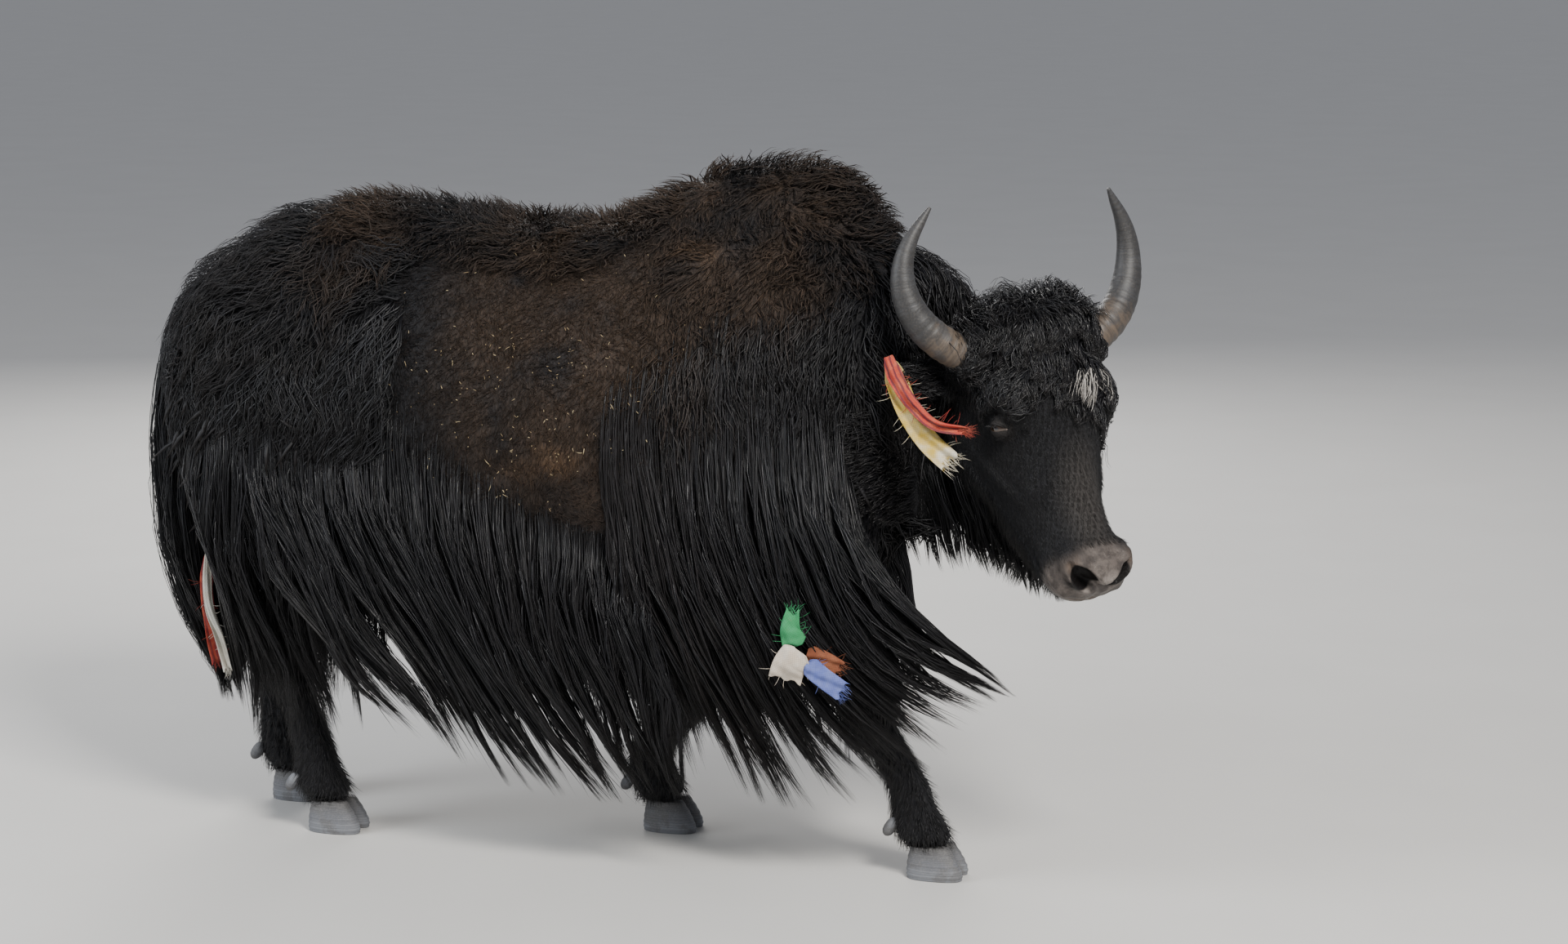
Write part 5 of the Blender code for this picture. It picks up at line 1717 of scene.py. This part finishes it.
@dataclass
class Curtain(Fall):
    """A fall that hangs at one side of the trunk, between a top and a bottom line."""

    side: Side = Side.RIGHT
    top: Rows = ()
    bottom: Rows = ()
    out: Numbers = ()
    thick: Numbers = ()

    def spot(self, s: np.ndarray, t: np.ndarray, d: np.ndarray) -> np.ndarray:
        """A point in the curtain, which lies on the skin where it starts above its top."""
        s = np.broadcast_to(s, t.shape)
        over = np.clip(s, 0, 1)
        x0, z0 = np.moveaxis(curve(self.top, over), -1, 0)
        x1, z1 = np.moveaxis(curve(self.bottom, over), -1, 0)
        spread = (self.top[-1][0] - self.top[0][0]) * (s - over)
        down = np.clip(t, 0, None)
        x = x0 * (1 - down) ** 2 + (x0 * 0.8 + x1 * 0.2) * 2 * down * (1 - down) + x1 * down ** 2
        z = z0 + (z1 - z0) * (0.85 * t + 0.15 * t * np.abs(t))
        stops = np.linspace(0, 1, len(self.out))
        out = np.interp(t, stops, self.out) - 0.03 * (1 - ease(s, -0.1, 0.25))
        edge = np.minimum(over, 1 - over) * (len(self.top) - 1) / 0.8
        thick = np.interp(t, stops, self.thick) * np.minimum(1, 0.35 + 0.65 * edge)
        free = out - thick * np.clip(d, 0, 1)
        skin = self.ground.reach(x + spread + SHIFT[0], z, self.side)
        lying = skin + 0.0015 + 0.010 * (1 - np.clip(d, 0, 1)) * ease(t - t[:, :1], 0, 0.15)
        lying = np.where(t <= t[:, :1] + 1e-6, skin - 0.004, lying)
        y = np.where(skin > 0.10, lying + (np.maximum(free, lying) - lying)
                     * ease(t, -0.02, 0.30), free)
        y = np.where(t <= t[:, :1] + 1e-6, np.where(skin > 0.1, skin - 0.004, free - 0.03), y)
        return np.stack((x + spread, y * self.side.value, z), -1) + SHIFT

    def outwards(self, s: np.ndarray) -> np.ndarray:
        """Straight out to the side."""
        return np.tile((0.0, float(self.side.value), 0.0), (len(s), 1))


@dataclass
class TailFall(Fall):
    """The tail's bushy hair, round a bent line."""

    # x, y, z, half depth and half width
    line: Rows = (
        (-0.895, 0.000, 1.090, 0.050, 0.060), (-0.930, -0.005, 0.990, 0.058, 0.085),
        (-0.938, -0.020, 0.860, 0.066, 0.108), (-0.930, -0.040, 0.700, 0.078, 0.125),
        (-0.908, -0.060, 0.540, 0.080, 0.118), (-0.880, -0.075, 0.410, 0.064, 0.085),
        (-0.855, -0.080, 0.330, 0.040, 0.045), (-0.840, -0.080, 0.280, 0.014, 0.016))

    def spot(self, s: np.ndarray, t: np.ndarray, d: np.ndarray) -> np.ndarray:
        """A point in the tail, with s going round it."""
        s = np.broadcast_to(s, t.shape)
        x, y, z, deep, wide = np.moveaxis(curve(self.line, t), -1, 0)
        over = np.maximum(t - 1, 0)
        angle = s * TURN
        radius = 1 - np.clip(d, 0, 1) * 0.85
        radius = np.where(t <= t[:, :1] + 1e-6, radius * 0.6, radius)
        return np.stack((x + np.cos(angle) * deep * radius,
                         y + np.sin(angle) * wide * radius, z - over * 0.5), -1) + SHIFT

    def outwards(self, s: np.ndarray) -> np.ndarray:
        """Away from the tail's middle line."""
        return np.stack((np.cos(s * TURN), np.sin(s * TURN), 0 * s), 1)


@dataclass
class HangingFall(Fall):
    """Hair that hangs under the body, along a line from back to front."""

    # x, y, half width, top and bottom
    line: Rows = ((0.150, -0.01, 0.020, 0.480, 0.300), (0.240, -0.01, 0.050, 0.520, 0.215),
                  (0.330, -0.01, 0.060, 0.540, 0.205), (0.420, -0.01, 0.055, 0.580, 0.220),
                  (0.490, -0.01, 0.040, 0.640, 0.300), (0.530, -0.01, 0.015, 0.680, 0.440))

    def spot(self, s: np.ndarray, t: np.ndarray, d: np.ndarray) -> np.ndarray:
        """A point in the fringe, with d going from one side to the other."""
        s = np.broadcast_to(s, t.shape)
        x, y, wide, top, bottom = np.moveaxis(curve(self.line, s), -1, 0)
        y = y + wide * (1 - 2 * np.clip(d, 0, 1)) * (1 - 0.65 * t)
        return np.stack((x + t * 0.05, y, top + (bottom - top) * t), -1) + SHIFT

    def outwards(self, s: np.ndarray) -> np.ndarray:
        """To the right, which is the side that shows."""
        return np.tile((0.0, -1.0, 0.0), (len(s), 1))


@dataclass
class ThroatFall(Fall):
    """The hair under the jaw and throat."""

    # along, half width, top and bottom, in the head's axes
    line: Rows = ((0.040, 0.040, -0.220, -0.390), (0.130, 0.055, -0.240, -0.480),
                  (0.220, 0.060, -0.260, -0.485), (0.300, 0.054, -0.240, -0.415),
                  (0.380, 0.047, -0.200, -0.325), (0.430, 0.040, -0.185, -0.262),
                  (0.462, 0.030, -0.180, -0.212))

    def spot(self, s: np.ndarray, t: np.ndarray, d: np.ndarray) -> np.ndarray:
        """A point in the fringe, with d going from one side to the other."""
        s = np.broadcast_to(s, t.shape)
        along, wide, top, bottom = np.moveaxis(curve(self.line, s), -1, 0)
        left = wide * (1 - 2 * np.clip(d, 0, 1)) * (1 - 0.55 * t)
        return HEAD.points(np.stack((along + 0.03 * t * t, left, top + (bottom - top) * t), -1))

    def outwards(self, s: np.ndarray) -> np.ndarray:
        """To the head's right."""
        return np.tile(-HEAD.axes[1], (len(s), 1))


BELLY = ((-0.450, 0, 0.200, 0.560, 0.330), (-0.250, 0, 0.230, 0.520, 0.280),
         (-0.080, 0, 0.230, 0.500, 0.250), (0.080, 0, 0.220, 0.500, 0.235),
         (0.220, 0, 0.180, 0.510, 0.240))
DEWLAP = ((0.480, -0.01, 0.060, 0.800, 0.610), (0.560, -0.03, 0.065, 0.800, 0.590),
          (0.630, -0.05, 0.065, 0.790, 0.590), (0.690, -0.07, 0.060, 0.780, 0.590),
          (0.740, -0.08, 0.050, 0.780, 0.575), (0.780, -0.10, 0.035, 0.770, 0.560))
SKIRT = {
    "top": ((-0.530, 0.835), (-0.38, 0.800), (-0.19, 0.735), (-0.02, 0.680), (0.140, 0.640)),
    "bottom": ((-0.500, 0.272), (-0.34, 0.292), (-0.18, 0.215), (0.01, 0.195), (0.205, 0.190)),
    "out": (0.325, 0.352, 0.350, 0.335, 0.315), "thick": (0.060, 0.095, 0.085, 0.065, 0.030)}
SHOULDER = {"out": (0.292, 0.342, 0.360, 0.336, 0.265), "thick": (0.060, 0.110, 0.120, 0.100, 0.040)}
SHOULDER_RIGHT = {
    "top": ((0.040, 0.780), (0.20, 0.880), (0.34, 0.890), (0.45, 0.870), (0.540, 0.800)),
    "bottom": ((0.110, 0.270), (0.26, 0.225), (0.45, 0.215), (0.640, 0.300), (0.765, 0.430))}
SHOULDER_LEFT = {
    "top": ((0.105, 0.860), (0.19, 0.890), (0.28, 0.890), (0.36, 0.870), (0.430, 0.800)),
    "bottom": ((0.130, 0.470), (0.20, 0.300), (0.29, 0.250), (0.38, 0.270), (0.470, 0.380))}
THIGH = {
    "top": ((-0.810, 0.850), (-0.76, 0.890), (-0.69, 0.910), (-0.61, 0.900), (-0.530, 0.860)),
    "out": (0.265, 0.310, 0.315, 0.275, 0.215), "thick": (0.050, 0.110, 0.130, 0.110, 0.060)}
THIGH_RIGHT = ((-0.780, 0.340), (-0.74, 0.260), (-0.67, 0.238), (-0.60, 0.250), (-0.505, 0.280))
THIGH_LEFT = ((-0.850, 0.340), (-0.80, 0.265), (-0.72, 0.240), (-0.63, 0.255), (-0.520, 0.280))


def long_falls(ground: Ground) -> list[Fall]:
    """Every fall of long hair, round the skin that it grows on."""
    right, left = Side.RIGHT, Side.LEFT
    skirt = {"ground": ground, "rise": 0.36, "level": 0.92, "sweep": 0.46,
             "fades": (-0.6, -0.5, 0.45, 1.10), "wave": 0.013, "gather": 0.56, **SKIRT}
    shoulder = {"ground": ground, "rise": 0.42, "sweep": 0.30, "wave": 0.010,
                "gather": 0.54, "fades": (-0.1, 0.40, 2.0, 2.1), **SHOULDER}
    thigh = {"ground": ground, "rise": 0.34, "sweep": 0.20, "wave": 0.016, **THIGH}
    return [
        Curtain("coat_skirt_right", "skirt_right", 4100, 110, 21, side=right, **skirt),
        Curtain("coat_skirt_left", "skirt_left", 2300, 70, 22, side=left, width=0.0034, **skirt),
        Curtain("coat_shoulder_right", "shoulder_fringe_right", 4300, 120, 23, side=right,
                **SHOULDER_RIGHT, **shoulder),
        Curtain("coat_shoulder_left", "shoulder_fringe_left", 1900, 60, 24, side=left,
                width=0.0034, **SHOULDER_LEFT, **shoulder),
        Curtain("coat_thigh_right", "thigh_fringe_right", 2000, 44, 25, side=right,
                bottom=THIGH_RIGHT, **thigh),
        Curtain("coat_thigh_left", "thigh_fringe_left", 1300, 44, 26, side=left,
                width=0.0032, bottom=THIGH_LEFT, **thigh),
        TailFall("coat_tail", "tail_switch", 2100, 50, 27, rise=0.0, wave=0.014),
        HangingFall("coat_chest", "chest_fringe", 600, 24, 28, steps=6, rise=0.0),
        HangingFall("coat_belly", "", 1500, 70, 31, steps=5, rise=0.0, width=0.0040,
                    line=BELLY),
        HangingFall("coat_dewlap", "", 900, 60, 30, steps=5, rise=0.0, wave=0.004,
                    width=0.0022, line=DEWLAP),
        ThroatFall("coat_throat", "throat_fringe", 1900, 110, 29, steps=5, wave=0.003,
                   gather=0.5, width=0.0017, rise=0.0)]


# Eyes, horns and hooves


@dataclass
class Eyes:
    """Two eyeballs with a clear bulge in front."""

    radius: float = 0.0205
    bulge: float = 0.0012

    def build(self) -> list[bpy.types.Object]:
        """The two eyes, dressed."""
        material = EyeFinish().material()
        made = []
        for side in Side:
            outwards, forwards, upwards = HEAD.gaze(side)
            bm = bmesh.new()
            layers = [bm.verts.layers.float.new(n) for n in ("eye_out", "eye_ahead", "eye_up")]
            bmesh.ops.create_uvsphere(bm, u_segments=48, v_segments=32, radius=1)
            centre = Vector(HEAD.eye(side))
            for vert in bm.verts:
                way = np.array(vert.co)
                parts = (way @ outwards, way @ forwards, way @ upwards)
                for layer, part in zip(layers, parts):
                    vert[layer] = part
                front = float(ease(np.array(parts[0]), 0.72, 0.95))
                vert.co = centre + vert.co * (self.radius + self.bulge * front)
            name = f"eye_{side.name.lower()}"
            piece = object_from(bm, name + "_ball")
            piece.data.materials.append(material)
            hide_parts(name)
            made.append(piece)
        return made


@dataclass
class Horns:
    """A pair of horns: out, up and in again, with rings near the base."""

    root: Numbers = (0.052, 0.135, -0.034)
    # Outwards, backwards and upwards from the root, then the radius
    course: Rows = (
        (-0.020, 0.000, -0.016, 0.032), (0.020, 0.000, 0.010, 0.033),
        (0.056, 0.006, 0.034, 0.0325), (0.086, 0.016, 0.064, 0.0305),
        (0.107, 0.026, 0.102, 0.0275), (0.116, 0.034, 0.143, 0.0235),
        (0.113, 0.037, 0.184, 0.019), (0.099, 0.036, 0.222, 0.014),
        (0.078, 0.032, 0.256, 0.0085), (0.063, 0.028, 0.279, 0.0035))
    sides: int = 36
    rings: int = 110

    def rings_of(self, side: Side) -> list[np.ndarray]:
        """The rings of points of one horn."""
        rows = curve(self.course, np.linspace(0, 1, self.rings))
        root = HEAD.at(self.root[0], side.value * self.root[1], self.root[2])
        points = (root + np.outer(rows[:, 0], HEAD.axes[1] * side.value)
                  - np.outer(rows[:, 1], HEAD.level) + np.outer(rows[:, 2], (0, 0, 1)))
        angle = np.arange(self.sides) * TURN / self.sides
        made = []
        for i, centre in enumerate(points):
            way = unit(points[min(i + 1, self.rings - 1)] - points[max(i - 1, 0)])
            one = unit(np.cross(way, HEAD.level))
            two = np.cross(way, one)
            share = i / (self.rings - 1)
            wear = 0.030 * (1 - share) ** 2
            ridge = 1 + wear * math.sin(i * TURN / 5.5 + 1.3 * math.sin(i * 0.37))
            dents = 1 + 0.010 * (1 - share) * np.sin(angle * 3 + i * 0.11)
            radius = rows[i, 3] * ridge * dents
            made.append(centre + np.outer(np.cos(angle) * radius, one)
                        + np.outer(np.sin(angle) * radius, two))
        return made

    def build(self) -> list[bpy.types.Object]:
        """The two horns, dressed."""
        material = HornFinish("horn_grey").material()
        made = []
        for side in Side:
            name = f"horn_{side.name.lower()}"
            bm = bridged(self.rings_of(side), course="course")
            piece = object_from(bm, name + "_sheath")
            piece.data.materials.append(material)
            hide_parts(name)
            made.append(piece)
        return made


@dataclass
class Hooves:
    """Two claws and two dewclaws on each foot."""

    feet: dict = field(default_factory=lambda: {
        "fore_right": (0.630, -0.115), "fore_left": (0.040, 0.070),
        "hind_right": (-0.604, -0.120), "hind_left": (-0.775, 0.090)})
    # height, length ahead of and behind the middle, outer width, inner width
    rows: Rows = (
        (0.000, 0.064, 0.044, 0.047, 0.003), (0.014, 0.064, 0.045, 0.048, 0.003),
        (0.038, 0.053, 0.043, 0.045, 0.004), (0.062, 0.037, 0.038, 0.039, 0.005))
    middle: float = 0.019
    toe_out: float = 4

    def claw_rings(self, foot: np.ndarray, side: int) -> list[np.ndarray]:
        """The rings of one claw: flat sole, curved outer wall, straight inner wall."""
        turn = math.radians(self.toe_out) * side
        ahead = np.array((math.cos(turn), math.sin(turn), 0))
        outwards = np.array((-math.sin(turn), math.cos(turn), 0)) * side
        angle = np.arange(40) * TURN / 40
        made = []
        for number, share in enumerate(np.linspace(0, 1, 26)):
            height, front, back, outer, inner = curve(self.rows, np.array(share))
            swell = 1 + 0.012 * math.sin(number * 1.45) * (1 if number > 2 else 0)
            swell -= 0.035 if number == 0 else 0
            reach = np.where(np.cos(angle) > 0, front, back) * swell
            across = np.where(np.sin(angle) > 0, outer, inner) - self.middle
            made.append(
                foot + np.array((0, 0, height))
                + np.outer(reach * power(np.cos(angle), 0.9), ahead)
                + np.outer(self.middle + across * swell * np.abs(np.sin(angle)) ** 0.75,
                           outwards))
        return made

    def dewclaw(self, foot: np.ndarray, side: int) -> bmesh.types.BMesh:
        """The small horny knob behind the fetlock, ringed and blunt."""
        centre = foot + np.array((-0.077, side * 0.027, 0.098))
        tilt = unit(np.array((-0.55, 0, -0.83)))
        across = np.array((0.0, 1.0, 0.0))
        other = np.cross(tilt, across)
        angle = np.arange(24) * TURN / 24
        rings = []
        for number, share in enumerate(np.linspace(-0.97, 0.97, 15)):
            wide = math.sqrt(1 - abs(share) ** 2.6) * (1 + 0.03 * math.sin(number * 2.4))
            rings.append(centre + tilt * 0.021 * share
                         + np.outer(np.cos(angle) * 0.014 * wide, across)
                         + np.outer(np.sin(angle) * 0.012 * wide, other))
        return bridged(rings, course="course")

    def build(self) -> list[bpy.types.Object]:
        """All sixteen, dressed."""
        finish = HornFinish("hoof_grey", (0.190, 0.200, 0.220), (0.130, 0.135, 0.150),
                            (0.080, 0.078, 0.078), (0.120, 0.118, 0.118), (0.26, 0.25, 0.24),
                            26, 0.6, 0.5).material()
        made = []
        for end, (x, y) in self.feet.items():
            foot = np.array((x, y, 0)) + SHIFT
            for side in Side:
                word = side.name.lower()
                claw = bridged(self.claw_rings(foot, side.value), course="course")
                for bm, node in ((claw, f"hoof_{end}_{word}_claw"),
                                 (self.dewclaw(foot, side.value), f"dewclaw_{end}_{word}")):
                    piece = object_from(bm, node + "_horn")
                    piece.data.materials.append(finish)
                    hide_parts(node)
                    made.append(piece)
        return made


# The cloth ribbons


@dataclass
class Ribbon:
    """One strip of cloth, with a frayed end."""

    node: str
    slot: Slot
    colour: Numbers
    faded: Numbers
    knot: Numbers
    points: Rows
    width: float
    facing: Numbers
    ruffle: float = 0.002
    pointed: bool = False
    pillow: float = 0.0
    threads: int = 26
    thread: float = 0.020
    held: str = "hung"
    rests: str = "skin"
    stripes: float = 0.0
    pale_from: float = 9.0
    columns: int = 12
    rows: int = 34

    def wide(self, share: np.ndarray) -> np.ndarray:
        """Its width at a share of its length."""
        return self.width * (1 - 0.55 * share if self.pointed else 1) * np.minimum(
            1, 0.45 + share * 3)

    def frame_at(self, share: np.ndarray) -> tuple[np.ndarray, np.ndarray, np.ndarray]:
        """Its middle line, its way and the way across it, at shares of its length."""
        start = np.array(self.knot) + SHIFT
        centre = start + curve(self.points, share)
        way = unit(curve(self.points, np.clip(share + 0.02, 0, 1))
                   - curve(self.points, np.clip(share - 0.02, 0, 1)))
        across = unit(np.cross(way, unit(np.array(self.facing))))
        return centre, way, across

    def build(self, rng: np.random.Generator) -> list[bpy.types.Object]:
        """The cloth and its loose threads.

        Args:
            rng: The source of chance.

        Returns:
            The cloth first, then its threads.
        """
        finish = ClothFinish(self.slot.value, self.colour, self.faded, self.stripes,
                             self.pale_from).material()
        facing = unit(np.array(self.facing))
        length = float(np.linalg.norm(np.diff(curve(
            self.points, np.linspace(0, 1, 200)), axis=0), axis=1).sum())
        bm = bmesh.new()
        bmesh.ops.create_grid(bm, x_segments=self.columns, y_segments=self.rows, size=1)
        plan = bm.verts.layers.float_vector.new("plan")
        phase = rng.uniform(0, TURN, 3)
        for vert in bm.verts:
            side, share = vert.co.x, (vert.co.y + 1) / 2
            centre, way, across = self.frame_at(np.array(share))
            wide = float(self.wide(np.array(share)))
            vert[plan] = (side * wide / 2, share * length, 0)
            fold = self.ruffle * (math.sin(side * 3.5 + share * 5)
                                  + 0.5 * math.sin(side * 7 + phase[0] + share * 9))
            fold += 0.4 * self.ruffle * math.sin(share * 21 + phase[1] + side * 2)
            fold += self.pillow * (1 - side ** 2) * math.sin(math.pi * min(1, share * 1.1))
            ragged = 0.0
            if share > 0.97:
                ragged = 0.004 * math.sin(side * 31 + phase[2])
            vert.co = centre + across * side * wide / 2 + facing * fold + way * ragged
        uv = bm.loops.layers.uv.new("weave")
        for face in bm.faces:
            for loop in face.loops:
                loop[uv].uv = loop.vert[plan][:2]
        cloth = object_from(bm, self.node + "_cloth")
        cloth.data.materials.append(finish)
        area = sum(p.area for p in cloth.data.polygons)
        flat = (self.width, length)
        thick = cloth.modifiers.new("cloth", "SOLIDIFY")
        thick.thickness = 0.0012
        thick.offset = 0
        fringe = Locks(self.node + "_threads", CoatFinish("unused"))
        side = rng.uniform(-1, 1, self.threads)
        share = np.where(rng.random(self.threads) < 0.7, rng.uniform(0.93, 0.99, self.threads),
                         rng.uniform(0.2, 0.95, self.threads))
        side = np.where(share < 0.93, np.sign(side) * 0.98, side)
        centre, way, across = self.frame_at(share)
        start = centre + across * (side * self.wide(share) / 2)[:, None]
        out = np.where((share < 0.93)[:, None], across * np.sign(side)[:, None] + way * 0.4, way)
        reach = self.thread * rng.uniform(0.4, 1.4, self.threads)[:, None]
        bend = rng.normal(0, 0.45, (self.threads, 3))
        paths = [start]
        for i in range(4):
            paths.append(paths[-1] + unit(out + bend * (0.3 + 0.35 * i)) * reach / 4)
        widths = np.tile((0.0008, 0.0009, 0.0008, 0.0006), (self.threads, 1))
        fringe.add(np.stack(paths, 1), widths, np.tile(facing, (self.threads, 1)),
                   rng.random(self.threads))
        threads = fringe.build()
        threads.data.materials.clear()
        threads.data.uv_layers["strand"].name = "weave"
        threads.data.materials.append(finish)
        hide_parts(self.node)
        min(area, flat[0] * flat[1])
        LOG.info("%s: flat %.3f by %.3f m, area %.5f", self.node, *flat, area)
        return [cloth, threads]


def ribbons() -> list[Ribbon]:
    """All the ribbons, on the ear, the shoulder and the tail."""
    skin = Skin()
    right = Side.RIGHT
    ear = tuple(HEAD.at(skin.ear_root[0], -skin.ear_root[1], skin.ear_root[2])
                + skin.ear_way(right) * (skin.ear_length + 0.004) - SHIFT)
    ear_facing = (0.30, -0.93, 0.10)
    shoulder, shoulder_facing = (0.425, -0.350, 0.475), (0.22, -0.97, 0.05)
    tail, tail_facing = (-0.842, -0.172, 0.555), (0.25, -0.96, 0)
    return [
        Ribbon("ear_ribbon_red", Slot.RED, (0.42, 0.045, 0.030), (0.50, 0.13, 0.07), ear,
               ((-0.014, -0.012, 0.036), (0.004, -0.018, -0.006), (0.035, -0.022, -0.050),
                (0.078, -0.024, -0.086), (0.132, -0.022, -0.094)), 0.034, ear_facing, 0.005,
               True, threads=70, thread=0.026, stripes=0.75),
        Ribbon("ear_ribbon_yellow", Slot.YELLOW, (0.50, 0.35, 0.060), (0.55, 0.46, 0.26), ear,
               ((-0.010, -0.006, 0.024), (0.004, -0.006, -0.018), (0.026, -0.010, -0.068),
                (0.062, -0.012, -0.118), (0.104, -0.010, -0.156)), 0.042, ear_facing, 0.005,
               threads=60, thread=0.024, pale_from=0.17),
        Ribbon("shoulder_ribbon_green", Slot.GREEN, (0.028, 0.235, 0.085),
               (0.050, 0.300, 0.130), shoulder,
               ((0.000, -0.005, 0.014), (-0.010, -0.008, 0.045), (-0.006, -0.006, 0.082)),
               0.052, shoulder_facing, 0.002, True, 0.006, rests="coat_shoulder_right"),
        Ribbon("shoulder_ribbon_white", Slot.WHITE, (0.52, 0.44, 0.35), (0.62, 0.56, 0.48),
               shoulder, ((0.010, -0.012, 0.006), (-0.010, -0.014, -0.020),
                          (-0.020, -0.010, -0.048)), 0.062, shoulder_facing, 0.002,
               pillow=0.009, threads=8, held="folded", rests="coat_shoulder_right"),
        Ribbon("shoulder_ribbon_brown", Slot.RUST, (0.17, 0.050, 0.022), (0.24, 0.085, 0.040),
               shoulder, ((0.018, 0.006, 0.000), (0.045, 0.006, -0.008),
                          (0.080, 0.008, -0.026)), 0.032, shoulder_facing, 0.002,
               rests="coat_shoulder_right"),
        Ribbon("shoulder_ribbon_blue", Slot.BLUE, (0.095, 0.125, 0.360), (0.150, 0.185, 0.420),
               shoulder, ((0.022, -0.010, -0.016), (0.050, -0.012, -0.038),
                          (0.090, -0.011, -0.064)), 0.038, shoulder_facing, 0.002,
               rests="coat_shoulder_right"),
        Ribbon("tail_ribbon_red", Slot.RED, (0.30, 0.030, 0.022), (0.42, 0.09, 0.05), tail,
               ((0.000, -0.003, 0.000), (0.000, -0.010, -0.075), (0.008, -0.008, -0.150),
                (0.020, -0.006, -0.215)), 0.026, tail_facing, 0.003, rests="coat_tail",
               stripes=0.5),
        Ribbon("tail_ribbon_white", Slot.WHITE, (0.50, 0.46, 0.38), (0.58, 0.56, 0.50), tail,
               ((0.006, -0.016, 0.006), (0.010, -0.026, -0.090), (0.032, -0.024, -0.160),
                (0.046, -0.020, -0.225)), 0.018, tail_facing, 0.003, rests="coat_tail")]


# The studio


@dataclass
class Studio:
    """The pale floor, the soft lights and the camera."""

    target: Numbers = (0.2915, 0.0223, 0.75)
    azimuth: float = 16
    elevation: float = 10
    distance: float = 7
    lens: float = 82.95

    def camera(self) -> None:
        """The camera, at the photograph's viewing angle."""
        a, e = math.radians(self.azimuth), math.radians(self.elevation)
        back = Vector((math.sin(a) * math.cos(e), -math.cos(a) * math.cos(e), math.sin(e)))
        data = bpy.data.cameras.new("camera")
        data.lens = self.lens
        data.sensor_width = 36
        data.clip_end = 300
        made = bpy.data.objects.new("camera", data)
        made.location = Vector(self.target) + back * self.distance
        made.rotation_euler = back.to_track_quat("Z", "Y").to_euler()
        bpy.context.scene.collection.objects.link(made)
        bpy.context.scene.camera = made

    def light(self, name: str, place: Numbers, size: float, watts: float,
              colour: Numbers) -> None:
        """One square soft light, aimed at the middle of the animal."""
        data = bpy.data.lights.new(name, "AREA")
        data.size = size
        data.energy = watts
        data.color = colour
        made = bpy.data.objects.new(name, data)
        made.location = place
        aim = Vector(place) - Vector((0, 0, 0.7))
        made.rotation_euler = aim.to_track_quat("Z", "Y").to_euler()
        bpy.context.scene.collection.objects.link(made)

    def build(self) -> None:
        """Floor, lights, sky and camera."""
        bm = bmesh.new()
        bmesh.ops.create_grid(bm, x_segments=8, y_segments=8, size=90)
        floor = object_from(bm, "floor")
        nodes = Nodes("floor_pale")
        grain = nodes.noise(nodes.place(), 3, 3)
        floor.data.materials.append(nodes.surface(
            nodes.mix(grain, (0.50, 0.49, 0.47), (0.54, 0.53, 0.51)), 0.9))
        floor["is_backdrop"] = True
        world = bpy.data.worlds.new("sky")
        bpy.context.scene.world = world
        world.use_nodes = True
        background = world.node_tree.nodes["Background"]
        background.inputs["Color"].default_value = (0.86, 0.90, 1.0, 1)
        background.inputs["Strength"].default_value = 0.48
        self.light("key", (3.4, -4.0, 5.0), 1.8, 720, (1.0, 0.97, 0.92))
        self.light("side", (-4.5, -3.0, 3.2), 2.5, 260, (0.92, 0.96, 1.0))
        self.light("rim", (-2.0, 4.8, 3.4), 3.0, 260, (1.0, 0.98, 0.95))
        self.camera()


def main() -> None:
    """Builds the skin, the coat and the rest in order."""
    logging.basicConfig(level=logging.INFO, format="%(message)s", stream=sys.stdout)
    Studio().build()
    skin = Skin().build()
    pieces = [skin]
    LOG.info("skin: %d faces", len(skin.data.polygons))
    pieces += Eyes().build()
    pieces += Horns().build()
    pieces += Hooves().build()
    ground = Ground(skin)
    pieces += Pelt(ground).build()
    pieces.append(Straws(ground).build())
    pieces += [fall.build() for fall in long_falls(ground)]
    rng = np.random.default_rng(5)
    for ribbon in ribbons():
        pieces += ribbon.build(rng)
    total = 0
    for piece in pieces:
        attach(piece, "root")
        count = sum(len(p.vertices) - 2 for p in piece.data.polygons)
        total += count
        LOG.info("%s: %d triangles", piece.name, count)
    LOG.info("all: %d triangles", total)
    boxes = {"cad": CAD_BOX, "visual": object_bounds()}
    boxes = {name: [[float(v) for v in corner] for corner in box]
             for name, box in boxes.items()}


if __name__ == "__main__":
    main()
